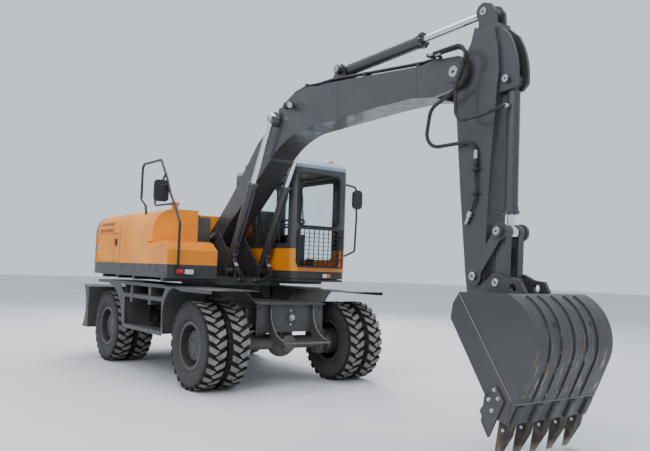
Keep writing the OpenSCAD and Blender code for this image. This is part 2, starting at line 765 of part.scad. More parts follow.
// Louvre rows in the right shoulder: rows of slanted slots
module louvre_cuts() {
    for (row = [0, 1]) for (i = [0:9])
        translate([-1690 + i * 58 + row * 30, -body_half - 10, hood_z - 190 - row * 95])
            rotate([0, 35, 0]) cube([16, 260, 62]);
}

// Engine cowling: shell with holes for the side doors and the hood
service_z = [panel_z + 12, hood_z - shoulder_r - 10];
right_door = [12 - cowl_back, -795];
left_door = [-1560, -620];
hood_x = [-1640, -420];
hood_half = 840;
lid_hole = [tank_front + 90, box_front - box_bevel - 40, 90 - body_half, -box_in - box_bevel - 30];

module cowling() {
    color(orange) difference() {
        plate_x(-cowl_back, -cowl_front) section2d(0);
        box(-cowl_back - 1, -cowl_front - wall_t, -body_half + wall_t, body_half - wall_t, 0, hood_z - shoulder_r);
        plate_x(-cowl_back - 1, -cowl_front - wall_t) section2d(wall_t);
        box(-3000, 3000, -3000, 3000, -1, panel_z);
        box(right_door[0], right_door[1], -3000, 0, service_z[0], service_z[1]);
        box(left_door[0], left_door[1], 0, 3000, service_z[0], service_z[1]);
        box(hood_x[0], hood_x[1], -hood_half, hood_half, hood_z - 200, 3000);
        louvre_cuts();
        box(-cowl_front - wall_t - 1, -cowl_front + 1, -tower_out - 12, tower_out + 12, panel_z - 1, 1600);
    }
    color(charcoal) {
        at_hinge("right") hinge_leaf(-1, -40);
        at_hinge("left") hinge_leaf(-1, -40);
        at_hinge("hood") hinge_leaf(-1, -40);
    }
}

// Hinges: [name, turn, place of the axis, heights of the two hinges along it]
hinge_out = 12.5;
hinge_r = 12;
hinge_pin_r = 5;
HINGES = [
    ["right", [180, 0, 0], [right_door[0] + door_gap / 2, -body_half, 0], [-1760, -1520]],
    ["left", [0, 0, 0], [left_door[0] + door_gap / 2, body_half, 0], [1520, 1760]],
    ["hood", [90, 0, 180], [hood_x[1] - door_gap / 2, 0, hood_z], [-500, 500]],
    ["cab", [0, 0, 0], [door_back + door_gap / 2, cab_out, 0], [1600, 2560]],
    ["box", [90, 0, 0], [lid_hole[0] - 28, 0, box_z], [700, 1050]]
];

// Both hinges of one door, local X towards the door, local Y outwards
module at_hinge(name) for (h = HINGES) if (h[0] == name) translate(h[2]) rotate(h[1]) for (z = h[3])
    translate([0, 0, z]) children();

// Knuckle and leaf on one side, +1 for the door and -1 for its frame
module hinge_leaf(side, z0, sink = 0.5) {
    difference() {
        union() {
            bar_z(0, hinge_out, hinge_r, z0 + 1, z0 + 39);
            box(side * 25 - 22, side * 25 + 22, -sink, 5, z0 + 1, z0 + 39);
            box(min(0, side * 6), max(0, side * 6), 0.5, 5, z0 + 1, z0 + 39);
        }
        if (side < 0) bar_z(0, hinge_out, hinge_pin_r + seat_gap, z0, z0 + 40);
    }
    if (side > 0) bar_z(0, hinge_out, hinge_pin_r, z0 - 39, z0 + 5);
}

module service_door(side, span) {
    color(orange) on_side(side) difference() {
        box(span[0] + door_gap, span[1] - door_gap, body_half - wall_t, body_half,
            service_z[0] + door_gap, service_z[1] - door_gap);
        box(span[0] + 60, span[1] - 60, body_half - wall_t - 1, body_half - 6, service_z[0] + 60, service_z[1] - 60);
    }
    color(black) on_side(side) box(span[1] - 175, span[1] - 115, body_half - 7, body_half + 8, 1680, 1775);
    color(charcoal) at_hinge(side < 0 ? "right" : "left") hinge_leaf(1, 0);
}

module hood_lid() {
    color(orange) difference() {
        box(hood_x[0] + door_gap, hood_x[1] - door_gap, door_gap - hood_half, hood_half - door_gap, hood_z - wall_t, hood_z);
        box(hood_x[0] + 60, hood_x[1] - 60, 60 - hood_half, hood_half - 60, hood_z - wall_t - 1, hood_z - 8);
    }
    color(charcoal) at_hinge("hood") hinge_leaf(1, 0);
}

// Tank block at the right front corner
module fuel_tank() {
    color(orange) difference() {
        union() {
            intersection() {
                plate_x(3 - cowl_front, tank_front) section2d(0);
                box(-1000, 1000, -2000, -tank_in, panel_z, 3000);
            }
            box(3 - cowl_front, box_seam - 4, -pan_half + 4, -tank_in, pan_z, panel_z + 1);
        }
        box(box_seam - 3, 1000, -3000, 0, 0, box_z + 4);
        // Seam behind the front block
        difference() {
            plate_x(box_seam - 3, box_seam + 3) section2d(-10);
            plate_x(box_seam - 4, box_seam + 4) section2d(8);
        }
    }
    // Filler cap on its stand pipe
    color(orange) {
        bar_z(300, -900, 45, hood_z - 1, hood_z + 70);
        bar_z(300, -900, 60, hood_z + 70, hood_z + 95);
    }
}

// Tool box ahead of the tank, with a bevelled top edge
module tool_box() {
    color(orange) difference() {
        union() {
            intersection() {
                plate_y(-body_half, -box_in) polygon([[box_seam, panel_z], [box_seam, box_z], [box_front - box_bevel, box_z],
                    [box_front, box_z - 2 * box_bevel], [box_front, panel_z]]);
                plate_x(box_seam, box_front) polygon([[-body_half, panel_z], [-body_half, box_z - 20], [20 - body_half, box_z],
                    [-box_in - box_bevel, box_z], [-box_in, box_z - 2 * box_bevel], [-box_in, panel_z]]);
            }
            box(box_seam, box_front - skirt_t - 2, -pan_half + 2, -box_in, pan_z, panel_z + 1);
        }
        box(box_seam + 14, box_front - 26, 14 - pan_half, -box_in - 14, pan_z + 12, box_z - 60);
        box(lid_hole[0], lid_hole[1], lid_hole[2], lid_hole[3], box_z - 100, box_z + 1);
    }
    color(charcoal) at_hinge("box") hinge_leaf(-1, -40);
}

module tool_box_lid() {
    color(orange) box(lid_hole[0] - 15, lid_hole[1] + 15, lid_hole[2] - 15, lid_hole[3] + 15, box_z + seat_gap, box_z + 14);
    color(charcoal) at_hinge("box") hinge_leaf(1, 0, -0.5);
    color(black) box(lid_hole[1] - 30, lid_hole[1] + 5, -960, -890, box_z + 13, box_z + 26);
}

// Dark skirts round the floor
module skirts() {
    top = panel_z;
    color(charcoal) {
        box(-cowl_back, box_front, -body_half, -pan_half, skirt_z, top);
        box(box_front - skirt_t, box_front, -pan_half, -box_in, skirt_z, top);
        box(-cowl_back, -cab_back - 12, pan_half, body_half, skirt_z, top);
        // Under the cab
        difference() {
            translate([0, 0, skirt_z]) linear_extrude(cab_z - skirt_z)
                rounded_plan(-cab_back, cab_front - 8, cab_in + 8, cab_out - 8, 40, cab_corner);
            translate([0, 0, skirt_z - 1]) linear_extrude(cab_z)
                rounded_plan(-cab_back + skirt_t, cab_front - 8 - skirt_t, cab_in + 8 + skirt_t, cab_out - 8 - skirt_t, 30,
                             cab_corner - skirt_t);
            box(-3000, 3000, 0, 3000, skirt_z - 1, pan_z + 0.5);
        }
        difference() {
            translate([0, 0, skirt_z]) linear_extrude(pan_z - 8 - skirt_z)
                rounded_plan(-cab_back, cab_front - 8, cab_in + 8, cab_out - 8, 40, cab_corner);
            translate([0, 0, skirt_z - 1]) linear_extrude(cab_z)
                rounded_plan(-cab_back + 20, cab_front - 200, cab_in + 40, cab_out - 40, 30, 60);
            box(-3000, 790, 0, 3000, skirt_z - 1, pan_z);
        }
    }
}

// Cab shell: one ring of wall with its windows and doorway cut out
module cab_plan(inset) rounded_plan(-cab_back + inset, cab_front - inset, cab_in + inset, cab_out - inset, 60 - inset / 2,
                                    cab_corner - inset);
side_z = [1760, 2700];
door_z = [cab_z + 12, cab_top - 45];

// Windows: wall, first and second edge along it, sill, top
WINDOWS = [
    ["front", cab_in + 60, cab_out - 165, 1470, 1975],
    ["front", cab_in + 60, cab_out - 165, 2010, 2720],
    ["rear", cab_in + 130, cab_out - 130, 1900, 2690],
    ["right", -cab_back + 70, 330, side_z[0], side_z[1]],
    ["right", 400, cab_front - 150, side_z[0], side_z[1]],
    ["left", -cab_back + 70, door_back - 75, side_z[0], side_z[1]]
];

// Block that covers a window through its wall, from depth a to depth b inside the outer face, with corners of radius r
module window_block(w, a, b, r) {
    wall = w[0];
    if (wall == "front") plate_x(cab_front - b, cab_front - a) rounded_plan(w[1], w[2], w[3], w[4], r, r);
    if (wall == "rear") plate_x(a - cab_back, b - cab_back) rounded_plan(w[1], w[2], w[3], w[4], r, r);
    if (wall == "right") plate_y(cab_in + a, cab_in + b) rounded_plan(w[1], w[2], w[3], w[4], r, r);
    if (wall == "left") plate_y(cab_out - b, cab_out - a) rounded_plan(w[1], w[2], w[3], w[4], r, r);
}

module cab_shell() {
    color(charcoal) difference() {
        translate([0, 0, cab_z]) linear_extrude(cab_top - cab_z) cab_plan(0);
        translate([0, 0, cab_z + 25]) linear_extrude(cab_top) cab_plan(cab_t);
        for (w = WINDOWS) window_block(w, -1, cab_t + 1, window_r);
        box(door_back, door_front, cab_out - cab_t - 1, cab_out + 1, door_z[0], door_z[1]);
    }
    color(charcoal) at_hinge("cab") hinge_leaf(-1, -40);
}

module cab_roof() {
    color(roof_blue) difference() {
        hull() {
            translate([0, 0, cab_top]) linear_extrude(45) cab_plan(0);
            translate([0, 0, cab_top + roof_h - 1]) linear_extrude(1) cab_plan(75);
        }
        translate([0, 0, cab_top - 1]) linear_extrude(31) cab_plan(cab_t);
    }
}

module cab_glass() {
    deep = cab_t / 2;
    color([0.6, 0.75, 0.8, 0.4]) for (w = WINDOWS) window_block(w, deep, deep + glass_t, window_r + 4);
}

door_window = ["left", door_back + 70, door_front - 70, 1560, 2690];

module cab_door() {
    color(charcoal) difference() {
        box(door_back + door_gap, door_front - door_gap, cab_out - cab_t, cab_out, door_z[0] + door_gap, door_z[1] - door_gap);
        window_block(door_window, -1, 100, window_r);
    }
    color(black) box(door_front - 60, door_front - 24, cab_out - 1, cab_out + 30, 1900, 2060);
    color(charcoal) at_hinge("cab") hinge_leaf(1, 0);
}

module door_glass() {
    color([0.6, 0.75, 0.8, 0.4]) window_block(door_window, cab_t / 2, cab_t / 2 + glass_t, window_r + 4);
}

seat_x = 120;

module cab_seat() {
    floor_z = cab_z + 25;
    color(charcoal) {
        box(seat_x - 180, seat_x + 180, cab_mid - 180, cab_mid + 180, floor_z, floor_z + 180);
        box(seat_x - 250, seat_x + 270, cab_mid - 250, cab_mid + 250, floor_z + 180, floor_z + 330);
        translate([seat_x - 180, 0, floor_z + 330]) rotate([0, -12, 0])
            box(-70, 60, cab_mid - 240, cab_mid + 240, -20, 620);
    }
}

module cab_controls() {
    floor_z = cab_z + 25;
    wheel = [640, 2130];
    color(black) {
        for (s = [1, -1]) translate([0, cab_mid + s * 320, 0]) {
            box(seat_x - 220, seat_x + 260, -60, 60, floor_z, floor_z + 520);
            bar_z(seat_x + 200, 0, 16, floor_z + 520, floor_z + 680);
            translate([seat_x + 200, 0, floor_z + 690]) sphere(r = 32);
        }
        translate([760, cab_mid, floor_z]) rotate([0, -15, 0]) bar_z(0, 0, 45, 15, 660);
        box(690, 830, cab_mid - 90, cab_mid + 90, floor_z, floor_z + 60);
        translate([wheel[0] - 45, cab_mid, wheel[1] - 45]) rotate([0, -15, 0]) {
            rotate_extrude() translate([190, 0]) circle(r = 15);
            for (a = [90, 210, 330]) rotate(a) translate([0, -14, -8]) cube([190, 28, 12]);
            bar_z(0, 0, 48, -70, 15);
        }
        for (s = [1, -1]) box(900, 960, cab_mid + s * 110 - 45, cab_mid + s * 110 + 45, floor_z, floor_z + 150);
    }
}

// Bar guard in front of the lower front window
guard = [cab_in + 45, cab_out - 110, 1450, 1985];

module window_guard() {
    x = cab_front + 30;
    color(black) {
        plate_x(x, x + 12) difference() {
            translate([guard[0], guard[2]]) square([guard[1] - guard[0], guard[3] - guard[2]]);
            for (i = [0:8]) for (j = [0:8]) translate([guard[0] + 22 + i * (guard[1] - guard[0] - 38) / 9,
                    guard[2] + 22 + j * (guard[3] - guard[2] - 38) / 9])
                square([(guard[1] - guard[0] - 38) / 9 - 7, (guard[3] - guard[2] - 38) / 9 - 7]);
        }
        for (y = [guard[0] + 11, guard[1] - 11]) for (z = [guard[2] + 110, guard[3] - 110]) bar_x(y, z, 11, cab_front, x + 1);
    }
}

// Handrails with the two mirrors
rail_y = -1120;

module handrails() {
    color(black) difference() {
        union() {
        tube([[-140, rail_y, hood_z - 90], [-190, rail_y, 2240], [-355, rail_y, 2330], [-355, rail_y, 2770],
              [-300, rail_y, 2820], [290, rail_y, 2820], [480, rail_y, 2600], [630, rail_y, 2360], [790, rail_y, 2200],
              [box_front + 60, rail_y, 1960], [box_front + 60, rail_y, 1408], [box_front + seat_gap, rail_y, 1408]], 17, 40);
        tube([[460, rail_y, 2625], [130, rail_y, 2300], [150, rail_y, 2215], [780, rail_y, 2205]], 14, 40);
        tube([[560, rail_y, 2470], [560, rail_y - 90, 2450], [560, rail_y - 90, 2330]], 10, 30);
        plate_x(535, 560) rounded_plan(rail_y - 190, rail_y + 10, 2240, 2520, 50, 50);
        // Cab rail and left mirror
        tube([[cab_front - 70, cab_out - 30, 2640], [cab_front + 30, cab_out + 90, 2600], [cab_front + 40, cab_out + 110, 2200],
              [cab_front + 30, cab_out + 100, 1700], [cab_front - 70, cab_out - 25, 1620]], 14, 40);
        plate_x(cab_front + 45, cab_front + 75) rounded_plan(cab_out + 20, cab_out + 180, 2290, 2560, 60, 60);
        }
        plate_x(-400, 0) section2d(-seat_gap);
        linear_extrude(cab_top) cab_plan(-seat_gap);
    }
}

// Lamps on the upper structure
module lamps() {
    color("white") {
        box(box_front + seat_gap, box_front + 14, -1010, -880, 1310, 1380);
        box(cab_front - 8 + seat_gap, cab_front + 8, cab_mid + 20, cab_mid + 160, 1310, 1375);
        for (y = [cab_in + 150, cab_out - 150]) translate([0, y, cab_top + roof_h]) {
            bar_z(cab_front - 260, 0, 30, seat_gap, 20);
            bar_z(cab_front - 260, 0, 40, 19, 70);
        }
    }
    color("red") box(box_front + seat_gap, box_front + 12, -1120, -1020, 1310, 1380);
}

// Boom: box section that bends at the knee, with a forked nose
module boom2d() {
    polygon(concat(
        [[foot[0] + 95, foot[1] - 116], [520, 2050], [750, 2205], [1240, 2595], [1500, 2790]],
        arc([2350, 1700], 1392, 126, 90, 9),
        [[3630, 3128], [4100, 3125], [4380, 3085], [boom_nose[0] + 20, boom_nose[1] - 148]],
        arc(boom_nose, nose_r, -80, 80, 10),
        [[4380, 3440], [4190, 3425], [2700, 3560]],
        arc(back_arc, back_r, 76, 138, 12),
        [[1160, 3030], [600, 2470], [380, 2280], [foot[0] - 110, foot[1] + 102]]
    ));
    translate(foot) circle(r = foot_r);
}

module boom() {
    color(charcoal) {
        difference() {
            union() {
                plate_y(-boom_half, boom_half) boom2d();
                // Bosses for the cylinders and the arm cylinder's bracket
                both_sides() {
                    bar_y(boom_cyl_head, 95, boom_half - 1, boom_cyl_y - eye_half - side_gap);
                    bar_y(boom_nose, 95, boom_half - 1, boom_half + 24);
                    plate_y(eye_half + side_gap + 5, eye_half + side_gap + 33) {
                        translate(arm_cyl_base) circle(r = 70);
                        polygon([[2570, 3540], [2915, 3514], [arm_cyl_base[0] + 56, arm_cyl_base[1] + 28],
                                 [arm_cyl_base[0] - 62, arm_cyl_base[1] + 30]]);
                    }
                    bar_y(arm_cyl_base, 50, eye_half + side_gap + 32, 140);
                }
                bar_y(arm_cyl_base, cyl_pin_r, -130, 130);
            }
            bar_y(foot, pin_r + pin_gap, -boom_half - 1, boom_half + 1);
            // Fork for the arm
            plate_y(-boom_half + cheek_t, boom_half - cheek_t) {
                translate(boom_nose) circle(r = 330);
                translate([boom_nose[0], boom_nose[1] - 500]) square([600, 1000]);
            }
        }
        bar_y(boom_nose, pin_r, -boom_half, boom_half);
    }
}

// Steel pipes and the work lamp on the boom
back_arc = [2250, 2650];
back_r = 945;
pipe_up = 32;
PIPE_WAY = concat([[379, 2321], [578, 2494], [1139, 3056]], [for (a = [134:-14:78]) back_arc + (back_r + pipe_up) * unit(a)]);

// The right pair runs on to the nose and turns out to the hoses: place across the boom and place along it
NOSE_PIPES = [[-95, 4450], [-130, 4400]];
hose_plane = boom_half + 38;
nose_pipe_z = 3466;

// Pipe clamp standing on the boom's back from y0 to y1, whose slope is given
module pipe_clamp(p, slope, y0, y1) plate_y(y0, y1) translate(p) rotate(slope) translate([-22, seat_gap]) square([44, 50]);

module boom_pipes() {
    color(black) {
        for (y = [60, 95]) tube([for (p = PIPE_WAY) [p[0], y, p[1]]], 13, 60);
        for (q = NOSE_PIPES) tube(concat([for (p = PIPE_WAY) [p[0], q[0], p[1]]],
            [[2720, q[0], 3603], [4190, q[0], 3470], [q[1], q[0], nose_pipe_z], [q[1], -hose_plane, nose_pipe_z]]), 13, 60);
        pipe_clamp([880, 2750], 45, -150, 118);
        for (k = [2, 9]) pipe_clamp(back_arc + back_r * unit(138 - 62 * k / 12), 48 - 62 * k / 12, -150, 118);
        for (x = [3330, 4150]) pipe_clamp([x, 3560 - (x - 2700) * 0.0906], -5.2, -152, -72);
    }
    color("white") {
        box(1930, 1990, -boom_half - 75, -boom_half - seat_gap, 3395, 3425);
        bar_x(-boom_half - 75, 3410, 50, 1960, 2020);
    }
}

boom_cyl_len = norm(boom_cyl_head - boom_cyl_base);
arm_cyl_len = norm(arm_cyl_head - arm_cyl_base);
bucket_cyl_len = norm(rocker_head - bucket_cyl_base);

// Boom cylinder barrel with its two lines, their valve block and the stubs of the hoses below it
module boom_barrel(side) color(charcoal) translate([0, side * boom_cyl_y, 0]) aim(boom_cyl_base, boom_cyl_head) {
    barrel(eye_half, eye_r, cyl_pin_r, boom_cyl_r, 1270, rod_r, 40);
    under = -boom_cyl_r - 20;
    box(290, 345, -32, 32, under - 22, -40);
    into_wall = 10 - boom_cyl_r;
    tube([[330, 16, under], [1180, 16, under], [1180, 16, into_wall]], 10, 25);
    tube([[330, -16, under], [440, -16, under], [440, -16, into_wall]], 10, 25);
    for (y = [16, -16]) {
        tube([[300, y, under], [205, y, under - 6], [170, y, under - 95]], 12, 45);
        bar_x(y, under, 15, 270, 291);
    }
}

module boom_rod(side) color(steel) translate([0, side * boom_cyl_y, 0]) aim(boom_cyl_base, boom_cyl_head) {
    piston_rod(eye_half, eye_r, rod_r, boom_cyl_len, boom_cyl_len - 1420);
    bar_y([boom_cyl_len, 0], cyl_pin_r, side * eye_half - 10, side * eye_half + 10);
}

// Arm with its top ears, cylinder bracket and end boss
module arm2d() {
    polygon([[4985, 3845], [4905, 3870], [4850, 3800], [4850, 3670], [4800, 3510], [4730, 3410], [4620, 3270], [4615, 3120],
             [4650, 2830], [4710, 2180], [4750, 1810], [4790, 1440], [bucket_pin[0] - 98, bucket_pin[1] + 20],
             [bucket_pin[0] + 98, bucket_pin[1] + 20], [5012, 1500], [5035, 2020], [5060, 2460], [5090, 2800], [5110, 3070],
             [5130, 3200], [5110, 3430], [5055, 3640], [5040, 3770]]);
    translate(bucket_pin) circle(r = 98);
    translate(arm_cyl_head) circle(r = 82);
}

module arm() {
    color(charcoal) difference() {
        union() {
            plate_y(-arm_half, arm_half) difference() {
                arm2d();
                // Room for the rod's eye between the ears
                polygon([[4700, 3900], [4700, 3740], [4860, 3640], [4950, 3600], [5030, 3630], [5100, 3720], [5100, 3900]]);
            }
            both_sides() {
                plate_y(eye_half + side_gap, eye_half + side_gap + 30) {
                    translate(arm_cyl_head) circle(r = 82);
                    polygon([[4985, 3845], [4905, 3868], [4850, 3800], [4850, 3670], [4815, 3560], [5070, 3560], [5052, 3640], [5040, 3770]]);
                }
                bar_y(boom_nose, 130, 0, boom_half - cheek_t - side_gap);
                bar_y(bucket_pin, 84, 0, arm_half + 10);
                bar_y(rocker_base, 78, 0, arm_half);
                // Curved twin ears for the bucket cylinder
                plate_y(eye_half + side_gap + 10, eye_half + side_gap + 40) polygon(concat(
                    [[5080, 3620]], arc([4600, 3150], 700, 32, 2, 8), [[5300, 3080], [5240, 3025], [5090, 3010]]));
            }
            bar_y(bucket_cyl_base, cyl_pin_r, -120, 120);
            bar_y(rocker_base, cyl_pin_r, -arm_half - rocker_t - 22, arm_half + rocker_t + 22);
        }
        bar_y(boom_nose, pin_r + pin_gap, -300, 300);
        bar_y(bucket_pin, cyl_pin_r + pin_gap, -300, 300);
    }
}

// Hoses from the boom's nose: one down to the pipe on the arm's side, one to the bucket cylinder's port
arm_hose_y = -hose_plane - 17;
port_hose_y = arm_hose_y - 37;
arm_pipe = [4908, -arm_half - 22];
port = [5198, -bucket_cyl_r - 20, 2880];

module arm_hoses() {
    color(black) {
        tube([[NOSE_PIPES[0][1], arm_hose_y, nose_pipe_z], [4900, arm_hose_y, 3465], [4800, arm_hose_y, 3110],
              [4420, arm_hose_y, 2960], [4350, arm_hose_y, 2590], [arm_pipe[0] - 3, arm_pipe[1], 2612],
              [arm_pipe[0], arm_pipe[1], 2440]], 17, 130);
        tube([[NOSE_PIPES[1][1], port_hose_y, nose_pipe_z], [4930, port_hose_y, 3475], [4760, port_hose_y, 3100],
              [4770, port_hose_y, 2780], [5080, port_hose_y, 2790], [port[0], port[1] - 53, port[2]],
              [port[0], port[1] - seat_gap, port[2]]], 15, 110);
    }
    color(steel) {
        // Swivel fittings at the nose
        translate([0, 0, nose_pipe_z]) {
            bar_y([NOSE_PIPES[0][1], 0], 20, arm_hose_y, -hose_plane - seat_gap);
            bar_y([NOSE_PIPES[1][1], 0], 20, port_hose_y, -hose_plane - seat_gap);
        }
        // Pipe down the arm with its clamps and the quick coupler at its end
        bar_z(arm_pipe[0], arm_pipe[1], 20, 2380, 2445);
        tube([[arm_pipe[0], arm_pipe[1], 2400], [arm_pipe[0], arm_pipe[1], 2090], [arm_pipe[0] - 60, arm_pipe[1], 1960]], 11, 50);
        translate([arm_pipe[0] - 48, arm_pipe[1], 1985]) rotate([0, 205, 0]) {
            cylinder(r = 22, h = 50);
            cylinder(r = 16, h = 120);
        }
        for (z = [2130, 2340]) box(arm_pipe[0] - 25, arm_pipe[0] + 25, arm_pipe[1] - 18, -arm_half - seat_gap, z, z + 30);
    }
}

module arm_barrel() color(charcoal) aim(arm_cyl_base, arm_cyl_head)
    barrel(eye_half + 5, eye_r, cyl_pin_r, arm_cyl_r, 1260, rod_r, 40);

module arm_rod() color(steel) aim(arm_cyl_base, arm_cyl_head)
    piston_rod(eye_half, eye_r, rod_r, arm_cyl_len, arm_cyl_len - 1370);

module bucket_barrel() color(charcoal) aim(bucket_cyl_base, rocker_head) {
    barrel(eye_half + 5, eye_r, cyl_pin_r, bucket_cyl_r, 1150, 32, 40);
    port_along = bucket_cyl_base[1] - port[2];
    bar_y([port_along, 0], 24, -bucket_cyl_r - 20, 12 - bucket_cyl_r);
}

module bucket_rod() color(steel) aim(bucket_cyl_base, rocker_head)
    piston_rod(eye_half, 56, 32, bucket_cyl_len, 160);

module rocker() {
    inner = arm_half + side_gap;
    color(charcoal) difference() {
        both_sides() {
            plate_y(inner, inner + rocker_t) {
                strut2d(rocker_base, rocker_head, 100);
                translate(rocker_base) circle(r = 78);
                translate(rocker_head) circle(r = 76);
            }
            bar_y(rocker_head, 50, inner + rocker_t - 1, inner + rocker_t + 32);
        }
        bar_y(rocker_base, cyl_pin_r + pin_gap, -300, 300);
    }
}

module bucket_link() {
    color(charcoal) difference() {
        union() {
            both_sides() plate_y(eye_half + side_gap, arm_half) {
                translate(rocker_head) circle(r = 66);
                strut2d(rocker_head, link_pin, 100);
            }
            bar_y(link_pin, 66, -arm_half - 8, arm_half + 8);
        }
        bar_y(link_pin, cyl_pin_r + pin_gap, -300, 300);
    }
}

// Bucket: rolled shell between two side plates, carried by two ears
bucket_eye = [5435, 920];
lip = [5590, 310];

function shell_path(inset) = concat(
    [[5080, 1288 - inset]],
    arc(bucket_eye, bucket_back_r - inset, 70, -25, 14),
    [[lip[0] + 110 - inset * 0.9, 530], [lip[0] - inset * 0.9, lip[1] + inset * 0.2]]
);

// The same way without the flat top
function strap_path(inset) = concat(
    arc(bucket_eye, bucket_back_r - inset, 64, -25, 12),
    [[lip[0] + 110 - inset * 0.9, 530], [lip[0] + 60 - inset * 0.9, 450]]
);

function reversed(list) = [for (i = [len(list) - 1:-1:0]) list[i]];

module bucket_side2d() {
    polygon(concat(shell_path(0), [[5500, 330], [5490, 560], [5370, 500], [4990, 1065], [5010, 1190]]));
}

module bucket_ear2d() {
    strut2d(bucket_pin, link_pin, 160);
    translate(bucket_pin) circle(r = 84);
    polygon([[bucket_pin[0] + 20, bucket_pin[1] - 80], [5260, 1260], [5480, 1300], [5430, 1390], [5330, 1400],
             [link_pin[0] + 40, link_pin[1] + 78]]);
}

module bucket() {
    ear_y = arm_half + 10 + side_gap;
    color(charcoal) difference() {
        union() {
            plate_y(-bucket_half, bucket_half) polygon(concat(shell_path(0), reversed(shell_path(bucket_shell_t))));
            both_sides() {
                plate_y(bucket_half - bucket_side_t, bucket_half) bucket_side2d();
                plate_y(ear_y, ear_y + ear_t) bucket_ear2d();
                bar_y(bucket_pin, 60, ear_y + ear_t - 1, ear_y + ear_t + 16);
                // Wear straps round the back
                for (y = [140, 280]) plate_y(y, y + 50) polygon(concat(strap_path(-12), reversed(strap_path(2))));
            }
            plate_y(-25, 25) polygon(concat(strap_path(-12), reversed(strap_path(2))));
            // Lip
            plate_y(-bucket_half, bucket_half) polygon([[5500, 330], [lip[0], lip[1]], [5700, 530], [5600, 500]]);
        }
        both_sides() bar_y([5357, 1334], 34, ear_y - 1, ear_y + ear_t + 1);
    }
    color(charcoal) {
        bar_y(bucket_pin, cyl_pin_r, -ear_y - 2, ear_y + 2);
        bar_y(link_pin, cyl_pin_r, -ear_y - 2, ear_y + 2);
    }
}

// Teeth with their adapters, and the bolted side cutters
tooth_tip = [5430, 20];
tooth_root = [5545, 318];

module bucket_teeth() {
    step = (2 * bucket_half - tooth_w - 40) / (teeth - 1);
    color([0.35, 0.25, 0.18]) for (i = [0:teeth - 1]) {
        y = -bucket_half + 20 + tooth_w / 2 + i * step;
        hull() {
            plate_y(y - tooth_w / 2, y + tooth_w / 2) polygon([[5498, 330.1], [5590, 309.7], [5560, 210], [5490, 215]]);
            plate_y(y - tooth_w * 0.3, y + tooth_w * 0.3) polygon([tooth_tip, [tooth_tip[0] + 14, tooth_tip[1]], [5500, 150]]);
        }
    }
    color(grey) both_sides() plate_y(bucket_half, bucket_half + 20)
        polygon([[5495, 570], [5380, 500], [5350, 300], [5418, 190], [5500, 340]]);
}

chassis_frame();
fenders();
slew_ring();
front_axle();
rear_axle();
driveline();
axle_locks();
knuckle(1);  // knuckle_left
knuckle(-1);  // knuckle_right
steering_rod();
for (w = WHEELS) {
    tyres(w);
    wheels(w);
}
blade();
blade_barrels();
blade_rods();
upper_frame();
counterweight();
engine_block();
hydraulic_gear();
cowling();
fuel_tank();
tool_box();
skirts();
cab_shell();
cab_roof();
cab_glass();
cab_seat();
cab_controls();
window_guard();
handrails();
lamps();
cab_door();
door_glass();
hood_lid();
service_door(-1, right_door);  // service_door_right
service_door(1, left_door);  // service_door_left
tool_box_lid();
boom();
boom_pipes();
boom_barrel(1);  // boom_barrel_left
boom_barrel(-1);  // boom_barrel_right
boom_rod(1);  // boom_rod_left
boom_rod(-1);  // boom_rod_right
arm();
arm_hoses();
arm_barrel();
arm_rod();
bucket_barrel();
bucket_rod();
rocker();
bucket_link();
bucket();
bucket_teeth();
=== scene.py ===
# %% [markdown]
# # A wheeled excavator, dressed in Blender
# The construction of this machine comes ready made: every plate, pin, wheel and pane is a fixed solid at its
# real size. This lesson gives those solids their finish and adds what is too fine for them, such as tyre tread,
# nuts, gaskets, welds and hoses. All lengths are metres. X points forward to the bucket, Y to the machine's
# left and Z up, and the origin lies on the ground under the slewing axis.

# %% The fixed frame
import math

import bmesh
import bpy
from mathutils import Matrix, Vector


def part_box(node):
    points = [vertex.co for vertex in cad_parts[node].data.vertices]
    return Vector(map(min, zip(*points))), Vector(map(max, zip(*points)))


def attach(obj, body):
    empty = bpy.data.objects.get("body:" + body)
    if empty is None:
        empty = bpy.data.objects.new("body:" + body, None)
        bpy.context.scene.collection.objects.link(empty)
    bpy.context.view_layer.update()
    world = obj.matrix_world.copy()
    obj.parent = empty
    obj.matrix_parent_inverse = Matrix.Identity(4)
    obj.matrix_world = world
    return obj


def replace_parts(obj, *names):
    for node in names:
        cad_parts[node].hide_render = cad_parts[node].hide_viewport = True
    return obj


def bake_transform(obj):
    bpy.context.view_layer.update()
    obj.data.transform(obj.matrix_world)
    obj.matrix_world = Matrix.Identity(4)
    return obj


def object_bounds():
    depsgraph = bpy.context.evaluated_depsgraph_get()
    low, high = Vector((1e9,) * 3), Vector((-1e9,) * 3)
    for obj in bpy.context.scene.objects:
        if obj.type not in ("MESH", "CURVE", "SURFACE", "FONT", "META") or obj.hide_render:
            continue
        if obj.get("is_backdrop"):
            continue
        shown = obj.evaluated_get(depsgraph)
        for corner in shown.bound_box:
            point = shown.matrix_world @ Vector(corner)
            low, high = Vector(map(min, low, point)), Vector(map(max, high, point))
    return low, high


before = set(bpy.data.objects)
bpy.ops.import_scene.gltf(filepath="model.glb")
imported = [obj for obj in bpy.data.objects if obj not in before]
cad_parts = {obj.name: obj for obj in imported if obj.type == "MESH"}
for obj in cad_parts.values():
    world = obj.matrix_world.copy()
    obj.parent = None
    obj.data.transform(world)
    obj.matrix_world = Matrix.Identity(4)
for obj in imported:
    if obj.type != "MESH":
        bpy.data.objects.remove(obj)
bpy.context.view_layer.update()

# %% [markdown]
# ## The camera
# A photograph is matched by a camera that stands where the photographer stood. Its place and its three angles
# were worked out from points that are easy to find again in the picture: the wheel centres, the pins of the
# boom and the corners of the cab. A few named numbers are better here than a camera moved by eye, because the
# same view comes back each time.

